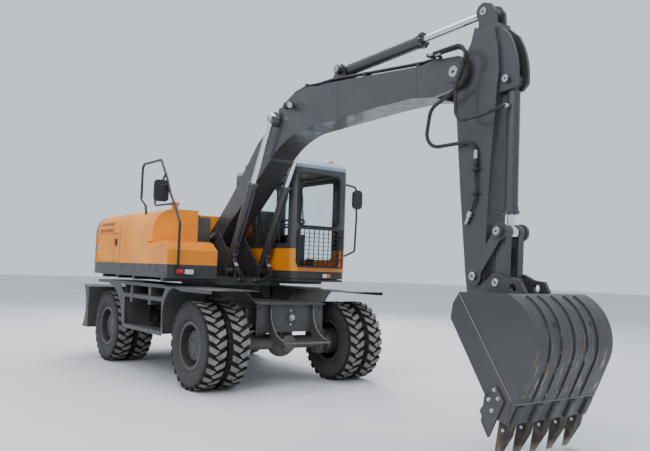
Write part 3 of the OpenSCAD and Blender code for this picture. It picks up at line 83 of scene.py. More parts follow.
# %% Camera at the photographer's place
EYE = Vector((9.045, -4.776, 1.434))
LOOK_YAW, LOOK_PITCH, LOOK_ROLL = (math.radians(a) for a in (143.874, 3.601, 1.917))
SENSOR_WIDTH, LENS = 36.0, 38.60

look = Vector((math.cos(LOOK_PITCH) * math.cos(LOOK_YAW), math.cos(LOOK_PITCH) * math.sin(LOOK_YAW),
               math.sin(LOOK_PITCH)))
level_right = Vector((math.sin(LOOK_YAW), -math.cos(LOOK_YAW), 0))
level_up = level_right.cross(look)
right = math.cos(LOOK_ROLL) * level_right + math.sin(LOOK_ROLL) * level_up
up = math.cos(LOOK_ROLL) * level_up - math.sin(LOOK_ROLL) * level_right

bpy.ops.object.select_all(action="DESELECT")
bpy.ops.object.camera_add(location=EYE)
camera = bpy.context.object
camera.name = "photographer"
camera.matrix_world = Matrix.Translation(EYE) @ Matrix((right, up, -look)).transposed().to_4x4()
camera.data.sensor_width = SENSOR_WIDTH
camera.data.lens = LENS
bpy.context.scene.camera = camera
print("camera at", tuple(round(c, 2) for c in EYE))

# %% [markdown]
# ## Nodes
# A material is a small network of nodes. The same few come back in all of them: a cloud of noise, a ramp that
# turns the cloud into colour, a bump, a place along an axis, and a little arithmetic. Each gets a helper once.

# %% Helpers for materials
def feed(socket, value):
    """Gives an input what it uses: another node's output, a colour or a number."""
    if isinstance(value, bpy.types.NodeSocket):
        socket.id_data.links.new(value, socket)
    else:
        socket.default_value = (*value, 1) if isinstance(value, tuple) else value


def node(tree, kind, inputs, **settings):
    """New node with its settings and its inputs."""
    made = tree.nodes.new("ShaderNode" + kind)
    for key, value in settings.items():
        setattr(made, key, value)
    for key, value in inputs.items():
        feed(made.inputs[key], value)
    return made


def ramp(tree, factor, stops):
    """Colour ramp fed by factor. Each stop is a place from 0 to 1 and a colour."""
    made = node(tree, "ValToRGB", {"Fac": factor})
    while len(made.color_ramp.elements) < len(stops):
        made.color_ramp.elements.new(0.5)
    for element, (place, colour) in zip(made.color_ramp.elements, stops):
        element.position = place
        element.color = (*colour, 1)
    return made.outputs["Color"]


def noise(tree, scale, detail=4, stretch=(1, 1, 1)):
    """Noise on object coordinates, stretched along the axes."""
    place = node(tree, "TexCoord", {}).outputs["Object"]
    mapped = node(tree, "Mapping", {"Vector": place, "Scale": Vector(stretch)}).outputs["Vector"]
    return node(tree, "TexNoise", {"Vector": mapped, "Scale": scale, "Detail": detail}).outputs["Fac"]


def calc(tree, operation, *values):
    """One step of arithmetic. Each value is an output or a number."""
    return node(tree, "Math", dict(enumerate(values)), operation=operation).outputs["Value"]


def remap(tree, value, start, end):
    """Value carried from one range to another."""
    return node(tree, "MapRange", {"Value": value, "From Min": start[0], "From Max": start[1], "To Min": end[0],
                                   "To Max": end[1]}).outputs["Result"]


def along_axis(tree, axis):
    """Place of a point along one axis of the machine."""
    return node(tree, "SeparateXYZ", {"Vector": node(tree, "TexCoord", {}).outputs["Object"]}).outputs[axis]


def mix(tree, factor, colour_a, colour_b):
    """Mixed colour. Each colour is an output or a triple."""
    made = node(tree, "Mix", {"Factor": factor}, data_type="RGBA")
    for socket, colour in (("A", colour_a), ("B", colour_b)):
        feed(next(i for i in made.inputs if i.name == socket and i.type == "RGBA"), colour)
    return next(o for o in made.outputs if o.type == "RGBA")


def bump(tree, height, strength, distance):
    """Bump on the material's shader from a height."""
    made = node(tree, "Bump", {"Height": height, "Strength": strength, "Distance": distance})
    feed(tree.nodes["Principled BSDF"].inputs["Normal"], made.outputs["Normal"])


def shader(name, roughness, metallic=0.0, coat=0.0):
    """New material whose constant values sit on the shader's own sockets."""
    material = bpy.data.materials.new(name)
    material.use_nodes = True
    bsdf = material.node_tree.nodes["Principled BSDF"]
    bsdf.inputs["Roughness"].default_value = roughness
    bsdf.inputs["Metallic"].default_value = metallic
    bsdf.inputs["Coat Weight"].default_value = coat
    bsdf.inputs["Coat Roughness"].default_value = 0.12
    return material, material.node_tree, bsdf


def gloss_drift(tree, cloud, low, high):
    """Lets the roughness drift from low to high with a cloud."""
    feed(tree.nodes["Principled BSDF"].inputs["Roughness"], remap(tree, cloud, (0.35, 0.65), (low, high)))


def clouded(name, roughness, cloud, colours, edges=(0.3, 0.7), drift=None, grain=None, **shine):
    """Material whose colour drifts between two tones. The cloud is a noise's scale, detail and stretch.
    The drift is a noise and two roughnesses, the grain a noise with a bump's strength and distance."""
    material, tree, bsdf = shader(name, roughness, **shine)
    feed(bsdf.inputs["Base Color"], ramp(tree, noise(tree, *cloud), list(zip(edges, colours))))
    if drift:
        gloss_drift(tree, noise(tree, *drift[0]), *drift[1])
    if grain:
        bump(tree, noise(tree, *grain[0]), *grain[1])
    return material


def shade(colour, share):
    """Darker or lighter tone of a colour."""
    return tuple(min(1.0, c * share) for c in colour)


print("node helpers ready")

# %% [markdown]
# ## Floor and light
# The machine stands in the open under a bright, hazy sky. In a studio the same look comes from a pale dome of
# light all round, one very large soft lamp high on the camera's side, and a weaker one behind the machine that
# draws bright edges on the boom. Large lamps give soft shadows, and soft shadows show round forms best.

# %% Floor
FLOOR_SIZE = 120
bpy.ops.mesh.primitive_plane_add(size=FLOOR_SIZE, location=(0, 0, 0))
floor = bpy.context.object
floor.name = "floor"
floor.data.materials.append(clouded("pale_floor", 0.75, (0.8,), [(0.60, 0.61, 0.63), (0.66, 0.67, 0.69)],
                                    grain=((60,), (0.15, 0.004))))
floor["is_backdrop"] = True
print("floor is", round(floor.dimensions.x), "m wide")

# %% Soft light
SKY, SKY_STRENGTH = (0.80, 0.87, 0.96), 1.05
LAMPS = [
    # name, place, watts, size, colour
    ("sun_side", (7.0, -9.0, 9.0), 800, 7.0, (1.0, 0.98, 0.95)),
    ("sky_top", (0.0, 1.0, 12.0), 1300, 10.0, (0.93, 0.96, 1.0)),
    ("back_edge", (-9.0, 6.0, 7.0), 800, 5.0, (1.0, 1.0, 1.0)),
]
LIT_POINT = Vector((1.0, 0, 1.2))

world = bpy.data.worlds.new("hazy_sky")
world.use_nodes = True
world.node_tree.nodes["Background"].inputs["Color"].default_value = (*SKY, 1)
world.node_tree.nodes["Background"].inputs["Strength"].default_value = SKY_STRENGTH
bpy.context.scene.world = world
for name, place, watts, size, colour in LAMPS:
    bpy.ops.object.light_add(type="AREA", location=place)
    lamp = bpy.context.object
    lamp.name = name
    lamp.data.energy = watts
    lamp.data.size = size
    lamp.data.color = colour
    lamp.rotation_euler = (LIT_POINT - Vector(place)).to_track_quat("-Z", "Y").to_euler()
print("lamps:", [row[0] for row in LAMPS])

# %% [markdown]
# ## Paint
# Machine paint is sprayed on thick: smooth, a little glossy, with a faint orange peel and a slight drift in its
# tone from panel to panel. Dust settles on it from below, where wheels throw it up. So each paint here mixes its
# colour by a slow cloud, adds dust by height, and carries a fine bump under a clear coat.

# %% Paint with dust towards the ground
DUST = (0.30, 0.29, 0.27)


def height_fade(tree, low, high):
    """1 at height low and under it, 0 at height high and over it."""
    return remap(tree, along_axis(tree, "Z"), (low, high), (1, 0))


def times(tree, a, b):
    """Product of two outputs, or of an output and a number."""
    return calc(tree, "MULTIPLY", a, b)


def paint(name, colour, roughness=0.38, coat=0.35, dust=0.5, dust_top=1.5, peel=0.10, gloss=0.5):
    material, tree, bsdf = shader(name, roughness, coat=coat)
    bsdf.inputs["Specular IOR Level"].default_value = gloss
    tone = ramp(tree, noise(tree, 1.1, 3), [(0.35, shade(colour, 0.86)), (0.65, shade(colour, 1.12))])
    grime = times(tree, times(tree, height_fade(tree, 0.1, dust_top), noise(tree, 7, 8)), dust)
    feed(bsdf.inputs["Base Color"], mix(tree, grime, tone, DUST))
    gloss_drift(tree, noise(tree, 9, 6), roughness - 0.06, roughness + 0.12)
    bump(tree, noise(tree, 260, 2), peel, 0.0006)
    return material


BODY_ORANGE = (0.83, 0.262, 0.004)
FRONT_GREY = (0.036, 0.037, 0.041)
FRAME_GREY = (0.040, 0.041, 0.043)
boom_paint = paint("boom_paint", FRONT_GREY, dust=0.06, dust_top=2.2)
frame_paint = paint("frame_paint", FRAME_GREY, roughness=0.5, coat=0.1, dust=0.16, dust_top=1.3)
roof_paint = paint("roof_paint", (0.30, 0.38, 0.46), dust=0.1)
weight_paint = paint("weight_paint", (0.060, 0.062, 0.067), dust=0.08, dust_top=2.4)
# The rims and hub cases are darker than the frame: partly their own dark paint, partly painted shade for the deep
# dished rim.
rim_paint = paint("rim_paint", (0.026, 0.027, 0.029), roughness=0.50, coat=0.1, dust=0.10, dust_top=1.2)
print("paints:", boom_paint.name, frame_paint.name, roof_paint.name, weight_paint.name, rim_paint.name)

# %% [markdown]
# The cowling is welded and bolted up from panels. Its seams are narrow dark gaps, far too thin to be worth
# geometry, so they are drawn in the paint: at named places along the machine a line a few millimetres wide turns
# dark. The cab is sprayed in two colours with a straight edge between them, drawn in the same way.

# %% Seams and two-tone paint
COWL_SEAMS = [-1.045, -0.790, -0.560]
SEAM_HALF, SEAM_DARK = 0.005, (0.02, 0.015, 0.01)
CAB_BAND_TOP, BAND_BLUR = 1.70, 0.0005


def colour_so_far(material):
    """The tree of a material, the socket of its colour, and what feeds that socket now."""
    socket = material.node_tree.nodes["Principled BSDF"].inputs["Base Color"]
    return material.node_tree, socket, socket.links[0].from_socket


def cut_seams(material, axis, places):
    """Draws seams across an axis over the colour that the material already has."""
    tree, socket, before = colour_so_far(material)
    near = [calc(tree, "COMPARE", along_axis(tree, axis), place, SEAM_HALF) for place in places]
    mask = near[0]
    for other in near[1:]:
        mask = calc(tree, "MAXIMUM", mask, other)
    feed(socket, mix(tree, mask, before, SEAM_DARK))
    return material


def two_tone(name, lower, upper, edge):
    """Paint that changes from one colour to the other at a height."""
    material = paint(name, upper, dust=0.1)
    tree, socket, before = colour_so_far(material)
    band = ramp(tree, noise(tree, 1.1, 3), [(0.35, shade(lower, 0.86)), (0.65, lower)])
    feed(socket, mix(tree, height_fade(tree, edge - BAND_BLUR, edge + BAND_BLUR), before, band))
    return material


cowl_paint = cut_seams(paint("cowl_paint", BODY_ORANGE, roughness=0.42, coat=0.08, dust=0.03, dust_top=2.0, gloss=0.22),
                       "X", COWL_SEAMS)
panel_paint = paint("panel_paint", BODY_ORANGE, roughness=0.36, coat=0.15, dust=0.03, dust_top=2.0, gloss=0.35)
cab_paint = two_tone("cab_paint", BODY_ORANGE, (0.045, 0.047, 0.052), CAB_BAND_TOP)
print("orange paints:", cowl_paint.name, panel_paint.name, cab_paint.name)

# %% [markdown]
# ## Bare metal, rubber, plastic, glass and cloth
# Cylinder rods are hard-chromed and ground, so their marks run round them and they shine like a mirror. Cast
# housings keep the grain of their sand moulds. Rubber is the darkest thing on the machine and greys with dust.
# Digging steel is painted like the boom and then scoured: bright scratches where stones rub, brown where they
# have rusted since.

# %% Metals and mirror silver
def cast_iron():
    material, tree, bsdf = shader("cast_iron", 0.6, coat=0.05)
    tone = ramp(tree, noise(tree, 12, 8), [(0.3, (0.028, 0.028, 0.03)), (0.7, (0.06, 0.058, 0.056))])
    feed(bsdf.inputs["Base Color"], mix(tree, times(tree, noise(tree, 5, 8), 0.35), tone, DUST))
    bump(tree, noise(tree, 140, 8), 0.5, 0.002)
    return material


def zinc(name, *colours):
    return clouded(name, 0.3, (60, 4), colours, drift=((40, 6), (0.22, 0.42)), grain=((220, 3), (0.1, 0.0005)),
                   metallic=1.0)


rod_chrome = clouded("rod_chrome", 0.12, (30, 3), [(0.62, 0.63, 0.65), (0.78, 0.79, 0.80)],
                     drift=((90, 5), (0.10, 0.24)), metallic=1.0)
casting = cast_iron()
zinc_plate = zinc("zinc_plate", (0.40, 0.41, 0.42), (0.60, 0.61, 0.61))
dull_zinc = zinc("dull_zinc", (0.12, 0.12, 0.12), (0.24, 0.24, 0.24))
silver = clouded("mirror_glass", 0.03, (4, 3), [(0.72, 0.75, 0.77), (0.80, 0.83, 0.85)], metallic=1.0)
print("metals:", rod_chrome.name, casting.name, zinc_plate.name, silver.name)

# %% Digging steel
BUCKET_GREY = (0.034, 0.034, 0.037)
SCOURED_X, BUCKET_SIDE_Y, TOOTH_SIDE_Y = 5.70, 0.494, 0.499


def outside(tree, half):
    """1 further than half from the middle plane."""
    return calc(tree, "GREATER_THAN", calc(tree, "ABSOLUTE", along_axis(tree, "Y")), half)


def scars(tree, where, cloud, edges, before, colour):
    """Streaks of a colour over what is there, only where the mask says."""
    streaks = ramp(tree, noise(tree, *cloud), [(edges[0], (0, 0, 0)), (edges[1], (1, 1, 1))])
    return mix(tree, times(tree, times(tree, streaks, where), 0.8), before, colour)


def digging_steel():
    material = paint("digging_steel", BUCKET_GREY, roughness=0.42, coat=0.15, dust=0.15, dust_top=1.2)
    tree, socket, before = colour_so_far(material)
    back = times(tree, calc(tree, "GREATER_THAN", along_axis(tree, "X"), SCOURED_X), height_fade(tree, 0.55, 1.15))
    brown = scars(tree, back, (4, 6, (2, 7, 1.3)), (0.62, 0.67), before, (0.26, 0.13, 0.05))
    bright = scars(tree, back, (5, 7, (2, 12, 0.9)), (0.61, 0.65), brown, (0.40, 0.38, 0.34))
    feed(socket, mix(tree, outside(tree, BUCKET_SIDE_Y), bright, before))
    return material


def tooth_steel():
    material, tree, bsdf = shader("tooth_steel", 0.5, metallic=0.2)
    tone = ramp(tree, noise(tree, 18, 8, (1, 1, 0.4)),
                [(0.38, (0.022, 0.019, 0.017)), (0.56, (0.055, 0.036, 0.024)), (0.76, (0.20, 0.14, 0.10))])
    tip = mix(tree, height_fade(tree, 0.02, 0.12), tone, (0.30, 0.27, 0.22))
    feed(bsdf.inputs["Base Color"], mix(tree, outside(tree, TOOTH_SIDE_Y), tip, BUCKET_GREY))
    bump(tree, noise(tree, 120, 8), 0.45, 0.002)
    return material


bucket_steel, tooth_metal = digging_steel(), tooth_steel()
print("digging steels:", bucket_steel.name, tooth_metal.name)


# %% Rubber, plastic, glass and seat cloth
def rubber(name, dark, dusty, share):
    material, tree, bsdf = shader(name, 0.8)
    tone = ramp(tree, noise(tree, 10, 7), [(0.35, dark), (0.75, dusty)])
    grime = times(tree, height_fade(tree, 0.0, 1.1), share)
    feed(bsdf.inputs["Base Color"], mix(tree, times(tree, grime, noise(tree, 16, 8)), tone, DUST))
    bump(tree, noise(tree, 320, 3), 0.25, 0.0008)
    return material


def plastic(name, colour, roughness=0.45):
    return clouded(name, roughness, (18, 4), [shade(colour, 0.85), colour], grain=((600, 2), (0.2, 0.0004)))


def lens(name, colour):
    ribs = (1, 4, 1)
    return clouded(name, 0.12, (90, 2, ribs), [shade(colour, 0.7), colour], grain=((150, 1, ribs), (0.3, 0.001)),
                   coat=0.6)


tyre_rubber = rubber("tyre_rubber", (0.013, 0.013, 0.014), (0.028, 0.028, 0.029), 0.20)
# Darker rubber for the groove floors and the blocks' sides: painted shade in the tread's recesses.
groove_shade_rubber = rubber("groove_shade_rubber", (0.004, 0.004, 0.004), (0.009, 0.009, 0.009), 0.04)
worn_tops = clouded("tread_worn", 0.85, (14, 8), [(0.13, 0.125, 0.12), (0.24, 0.235, 0.225)], edges=(0.35, 0.70),
                    grain=((260, 6), (0.4, 0.001)))
hose_rubber = rubber("hose_rubber", (0.018, 0.018, 0.019), (0.035, 0.035, 0.035), 0.0)
black_bar = plastic("black_bar", (0.018, 0.018, 0.020), 0.4)
cab_plastic = plastic("cab_plastic", (0.035, 0.036, 0.038))
window_pane = clouded("window_glass", 0.03, (3, 5), [(0.80, 0.88, 0.90), (0.90, 0.95, 0.96)])
glass = window_pane.node_tree.nodes["Principled BSDF"]
glass.inputs["Transmission Weight"].default_value = 1.0
glass.inputs["IOR"].default_value = 1.1
amber_lens, red_lens = lens("amber_lens", (0.85, 0.30, 0.01)), lens("red_lens", (0.60, 0.012, 0.01))
white_lens = lens("white_lens", (0.80, 0.82, 0.84))
seat_cloth = clouded("seat_cloth", 0.9, (40, 6), [(0.03, 0.03, 0.034), (0.07, 0.07, 0.075)],
                     grain=((900, 2), (0.5, 0.001)))
seat_cloth.node_tree.nodes["Principled BSDF"].inputs["Sheen Weight"].default_value = 0.4
print("soft and clear finishes:", tyre_rubber.name, hose_rubber.name, window_pane.name, seat_cloth.name)

# %% [markdown]
# ## Finishes on the construction
# Each solid takes its finish by its place in the machine. One table keeps the choice readable, and the loop
# under it also checks that no solid was forgotten.

# %% Finish table
FINISHES = {
    frame_paint: ["chassis_frame", "fenders", "blade", "blade_barrels", "axle_locks", "upper_frame", "skirts"],
    casting: ["slew_ring", "front_axle", "rear_axle", "driveline", "knuckle_left", "knuckle_right", "engine_block",
              "hydraulic_gear"],
    rod_chrome: ["steering_rod", "blade_rods", "boom_rod_left", "boom_rod_right", "arm_rod", "bucket_rod"],
    boom_paint: ["boom", "boom_barrel_left", "boom_barrel_right", "arm", "arm_barrel", "bucket_barrel", "rocker",
                 "bucket_link"],
    cowl_paint: ["cowling", "service_door_left", "service_door_right", "hood_lid"],
    panel_paint: ["fuel_tank", "tool_box", "tool_box_lid"],
    cab_paint: ["cab_shell", "cab_door"],
    weight_paint: ["counterweight"],
    roof_paint: ["cab_roof"],
    window_pane: ["cab_glass", "door_glass"],
    seat_cloth: ["cab_seat"],
    cab_plastic: ["cab_controls"],
    black_bar: ["window_guard", "handrails", "boom_pipes"],
    hose_rubber: ["arm_hoses"],
    white_lens: ["lamps"],
    bucket_steel: ["bucket"],
    tooth_metal: ["bucket_teeth"],
    rim_paint: ["wheels_" + w for w in ("front_left", "front_right", "rear_left", "rear_right")],
    tyre_rubber: ["tyres_" + w for w in ("front_left", "front_right", "rear_left", "rear_right")],
}


def wear(node_name, material):
    """Gives a solid of the construction its finish, in every slot that it has."""
    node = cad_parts[node_name]
    if not node.material_slots:
        node.data.materials.append(material)
    for place in node.material_slots:
        place.material = material


for material, names in FINISHES.items():
    for name in names:
        wear(name, material)
forgotten = set(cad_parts) - {name for names in FINISHES.values() for name in names}
print("finished", sum(len(n) for n in FINISHES.values()), "solids; forgotten:", sorted(forgotten))

# %% [markdown]
# ## Tools of the bench
# Every small piece below starts as a primitive and is shaped in edit mode, as it would be by hand. Four moves
# come back all the time: add a primitive with nothing else selected, select its faces by their place, spin a
# profile into a turned part, and lay a finished shape where it belongs. Each move gets a helper once.

# %% Helpers for shaping
def only(*pieces):
    """Selects these pieces and nothing else, the first of them active."""
    bpy.ops.object.select_all(action="DESELECT")
    for piece in pieces:
        piece.select_set(True)
    bpy.context.view_layer.objects.active = pieces[0]


def edit(piece):
    """Opens edit mode on one piece, in vertex mode, with all of it selected."""
    only(piece)
    bpy.ops.object.mode_set(mode="EDIT")
    bpy.context.tool_settings.mesh_select_mode = (True, False, False)
    bpy.ops.mesh.select_all(action="SELECT")


def fresh(add, name, **size):
    """Adds a primitive and opens it in edit mode, all of it selected."""
    bpy.ops.object.select_all(action="DESELECT")
    add(**size)
    piece = bpy.context.object
    piece.name = name
    edit(piece)
    return piece


def extrude(*step):
    """Extrudes the selection by a step."""
    bpy.ops.mesh.extrude_region_move(TRANSFORM_OT_translate={"value": step})


def stretch(value, centre=(0, 0, 0)):
    """Scales the selection round a point."""
    bpy.ops.transform.resize(value=value, center_override=centre)


def pick(piece, test):
    """Selects the vertices whose place passes the test, and what lies between them."""
    bpy.ops.mesh.select_all(action="DESELECT")
    mesh = bmesh.from_edit_mesh(piece.data)
    for vertex in mesh.verts:
        vertex.select_set(test(vertex.co))
    mesh.select_flush(True)
    bmesh.update_edit_mesh(piece.data)


def close_edit():
    """Merges doubles, turns the faces outwards and leaves edit mode."""
    bpy.ops.mesh.select_all(action="SELECT")
    bpy.ops.mesh.remove_doubles(threshold=0.00002)
    bpy.ops.mesh.normals_make_consistent(inside=False)
    bpy.ops.object.mode_set(mode="OBJECT")


def modify(piece, kind, **settings):
    """Sets up a modifier and applies it."""
    tool = piece.modifiers.new(kind, kind)
    for key, value in settings.items():
        setattr(tool, key, value)
    bpy.context.view_layer.objects.active = piece
    bpy.ops.object.modifier_apply(modifier=tool.name)
    return piece


def soften(piece, width, segments=1, angle=35):
    """Rounds the sharp edges."""
    return modify(piece, "BEVEL", width=width, segments=segments, limit_method="ANGLE", angle_limit=math.radians(angle))


def turned(name, profile, steps=32):
    """Closes a profile of (radius, height) points and spins it round the Z axis."""
    piece = fresh(bpy.ops.mesh.primitive_plane_add, name, size=0.01)
    bpy.ops.mesh.merge(type="CENTER")
    radius, height = profile[0]
    bpy.ops.transform.translate(value=(radius, 0, height))
    for next_radius, next_height in profile[1:] + profile[:1]:
        step = (next_radius - radius, 0, next_height - height)
        bpy.ops.mesh.extrude_vertices_move(TRANSFORM_OT_translate={"value": step})
        radius, height = next_radius, next_height
    bpy.ops.mesh.select_all(action="SELECT")
    bpy.ops.mesh.spin(steps=steps, angle=math.tau, center=(0, 0, 0), axis=(0, 0, 1))
    close_edit()
    return piece


def block(name, size, top=1.0, bevel=0.0, segments=1):
    """Box on the XY plane with its top face drawn in, its edges rounded."""
    piece = fresh(bpy.ops.mesh.primitive_cube_add, name, size=1, location=(0, 0, 0))
    bpy.ops.transform.translate(value=(0, 0, 0.5))
    stretch(size)
    pick(piece, lambda v: v.z > size[2] * 0.9)
    stretch((top, top, 1), (0, 0, size[2]))
    close_edit()
    return soften(piece, bevel, segments) if bevel else piece


def sheet(name, width, height, corner):
    """Flat sheet with rounded corners in XY, open in edit mode with all of it selected."""
    piece = fresh(bpy.ops.mesh.primitive_plane_add, name, size=1)
    stretch((width, height, 1))
    bpy.ops.mesh.bevel(offset=corner, offset_type="OFFSET", segments=6, affect="VERTICES")
    bpy.ops.mesh.select_all(action="SELECT")
    return piece


def outline(name, corners):
    """Flat face through a row of points, open in edit mode with all of it selected."""
    piece = fresh(bpy.ops.mesh.primitive_circle_add, name, vertices=len(corners), radius=1, fill_type="NGON")
    mesh = bmesh.from_edit_mesh(piece.data)
    for vertex, corner in zip(mesh.verts, corners):
        vertex.co = corner
    bmesh.update_edit_mesh(piece.data)
    bpy.ops.mesh.select_all(action="SELECT")
    return piece


def lay(piece, at, axis=(0, 0, 1), turn=0.0):
    """Lays a shape made round the origin at its place, its Z along the axis, and keeps that in its mesh."""
    lie = Vector((0, 0, 1)).rotation_difference(Vector(axis).normalized()).to_matrix().to_4x4()
    piece.data.transform(Matrix.Translation(at) @ lie @ Matrix.Rotation(turn, 4, "Z"))
    return piece


WALLS = {"front": (0, 1, 0), "back": (0, -1, 0), "right": (1, 0, 0), "left": (-1, 0, 0)}


def hang(piece, at, wall):
    """Lays a shape drawn in XY on an upright wall, its Z outwards."""
    across, rise = Vector(WALLS[wall]), Vector((0, 0, 1))
    piece.data.transform(Matrix.Translation(at) @ Matrix((across, rise, across.cross(rise))).transposed().to_4x4())
    return piece


def repeat(piece, spots):
    """Copies a shape to each (place, axis, turn), every copy with its own mesh, and returns the copies."""
    made = []
    for at, axis, turn in spots:
        twin = bpy.data.objects.new(piece.name, piece.data.copy())
        bpy.context.collection.objects.link(twin)
        made.append(lay(twin, at, axis, turn))
    bpy.data.objects.remove(piece)
    return made


def gather(name, pieces):
    """Joins pieces into one object."""
    only(*pieces)
    if len(pieces) > 1:
        bpy.ops.object.join()
    pieces[0].name = name
    return pieces[0]


def done(name, pieces, material, body, angle=35):
    """Joins finished pieces under a name and gives them a material, unless they have their own, smooth shading,
    and the body they ride on, unless they bend between two."""
    piece = gather(name, pieces if isinstance(pieces, list) else [pieces])
    if material:
        piece.data.materials.clear()
        piece.data.materials.append(material)
    only(piece)
    bpy.ops.object.shade_smooth_by_angle(angle=math.radians(angle))
    if body:
        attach(piece, body)
    return piece


print("bench ready")

# %% [markdown]
# ## Tyres
# A site tyre has two staggered rows of slanted rubber blocks. They stand on a round carcass, reach over its
# shoulder and meet in a zigzag at the middle. Their tops are scrubbed grey by the road while the walls stay
# black. The grooves between the blocks and the blocks' sides are painted darker than the walls: painted shade in
# the tread's recesses. The carcass is a spun profile with the thin rings that a mould leaves on the wall. One
# block is an outline of four corners, extruded with some draft and wrapped round the axle, then copied round.

# %% The carcass
AXLES = {"front": 1.637, "rear": -1.160}
AXLE_Z = 0.508
SIDES = {"left": 1, "right": -1}
TWIN_Y = (1.131, 0.833)
WALL_PROFILE = [
    # radius, half width, from the bead to the middle of the tread
    (0.2545, 0.0880), (0.2910, 0.0885), (0.2960, 0.1035), (0.3010, 0.1080), (0.3040, 0.1115), (0.3085, 0.1110),
    (0.3100, 0.1095), (0.3350, 0.1180), (0.3365, 0.1210), (0.3410, 0.1215), (0.3430, 0.1200), (0.3650, 0.1235),
    (0.3965, 0.1250), (0.4250, 0.1240), (0.4400, 0.1215), (0.4410, 0.1235), (0.4450, 0.1230), (0.4470, 0.1205),
    (0.4650, 0.1150), (0.4740, 0.1075), (0.4785, 0.0980), (0.4810, 0.0600), (0.4810, 0.0),
]


def carcass(name):
    ring = [(r, -half) for r, half in WALL_PROFILE] + [(r, half) for r, half in reversed(WALL_PROFILE[:-1])]
    return turned(name, ring, steps=72)


# %% The block
LUGS = 26
TREAD_ROOT, TREAD_TOP = 0.474, 0.5078
BLOCK_OUTLINE = [(0.1145, 0.062), (-0.028, -0.015), (0.020, -0.064), (0.1095, -0.017)]


def tread_block(name, hand):
    """A block of one row, X outwards from the axle and Z across the tyre; hand sets which way it slants."""
    piece = outline(name, [(TREAD_ROOT, hand * round_it, across) for across, round_it in BLOCK_OUTLINE])
    extrude(TREAD_TOP - TREAD_ROOT, 0, 0)
    # Draft: the worn top is smaller than the root
    stretch((1, 0.93, 0.97), (TREAD_TOP, 0, 0.054))
    # The outer end reaches over the shoulder
    pick(piece, lambda v: v.z > 0.1)
    extrude(-0.022, 0, 0.0090)
    stretch((0.6, 0.92, 1), (0.4640, hand * 0.022, 0.1145))
    close_edit()
    soften(piece, 0.0025, angle=40)
    # Wrapped round the axle, so that the top follows the tyre's circle
    for vertex in piece.data.vertices:
        x, turn = vertex.co.x, vertex.co.y / TREAD_TOP
        vertex.co.x, vertex.co.y = x * math.cos(turn), x * math.sin(turn)
    return piece


# The groove floor and the blocks' sides take the darker rubber: painted shade in the tread's recesses.
WALL, WORN, GROOVE_SHADE = 0, 1, 2
TYRE_FINISHES = (tyre_rubber, worn_tops, groove_shade_rubber)
GROOVE_SHADE_RADIUS = 0.468
WHEELS = [(f"{end}_{side}", x, y_sign) for end, x in AXLES.items() for side, y_sign in SIDES.items()]


def tyre(name, hand):
    """One tyre round the origin, its axle along Z."""
    body = carcass(name)
    for finish in TYRE_FINISHES:
        body.data.materials.append(finish)
    for face in body.data.polygons:
        face.material_index = GROOVE_SHADE if math.hypot(face.center.x, face.center.y) > GROOVE_SHADE_RADIUS else WALL
    rows = []
    for flip in (1, -1):
        lug = tread_block(name + "_block", hand)
        if flip < 0:
            lug.data.transform(Matrix.Scale(-1, 4, (0, 0, 1)))
            edit(lug)
            close_edit()
        for face in lug.data.polygons:
            face.material_index = WORN if face.normal.x > 0.9 and face.center.x > 0.5 else GROOVE_SHADE
        for finish in TYRE_FINISHES:
            lug.data.materials.append(finish)
        start = 0 if flip > 0 else math.pi / LUGS
        rows += repeat(lug, [((0, 0, 0), (0, 0, 1), start + math.tau * i / LUGS) for i in range(LUGS)])
    return gather(name, [body] + rows)


for wheel, x, y_sign in WHEELS:
    twins = repeat(tyre("tyre", -y_sign), [((x, y_sign * y, AXLE_Z), (0, y_sign, 0), 0.02 * k)
                                           for k, y in enumerate(TWIN_Y)])
    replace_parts(done("road_tyres_" + wheel, twins, None, "wheel_" + wheel, angle=32), "tyres_" + wheel)
print("tyres:", 2 * len(WHEELS), "with", 2 * LUGS, "blocks each")

# %% [markdown]
# ## Nuts and bolts
# A bolt head seen from a step away is a hexagon with a rounded top on a round washer. Both grow from one
# six-sided cylinder: the top is inset and raised for the rounding, and the washer is added below it. Rings of
# them hold the wheels and the cylinder glands. The hub is a flat round gear case that fills the middle of the
# dished rim, turned with a small chamfer, its face carrying a ring of plugs and a middle cap.

# %% A bolt head
CORNER_RADIUS = 0.577  # of a hexagon one wide across its flats


def bolt(name, across, stud=0.0):
    """Bolt head on the XY plane; with a stud it is a wheel nut on its bolt's end."""
    piece = fresh(bpy.ops.mesh.primitive_cylinder_add, name, vertices=6, radius=across * CORNER_RADIUS,
                  depth=across * 0.6, location=(0, 0, 0))
    bpy.ops.transform.translate(value=(0, 0, across * 0.4))
    top = across * 0.7
    pick(piece, lambda v: v.z > top - 0.0001)
    extrude(0, 0, across * 0.09)
    stretch((0.8, 0.8, 1), (0, 0, top))
    if stud:
        extrude(0, 0, 0)
        stretch((0.6, 0.6, 1), (0, 0, top))
        extrude(0, 0, stud)
    bpy.ops.mesh.primitive_cylinder_add(vertices=16, radius=across * 0.72, depth=across * 0.12,
                                        location=(0, 0, across * 0.06))
    close_edit()
    return piece


def bolt_ring(name, across, centre, axis, radius, count, start=0.0, stud=0.0):
    """A ring of bolts on a face: centre, the face's outward axis, and the ring's radius."""
    lie = Vector((0, 0, 1)).rotation_difference(Vector(axis).normalized())
    angles = [start + math.tau * i / count for i in range(count)]
    return repeat(bolt(name, across, stud), [
        (Vector(centre) + lie @ Vector((radius * math.cos(a), radius * math.sin(a), 0)), axis, a) for a in angles])


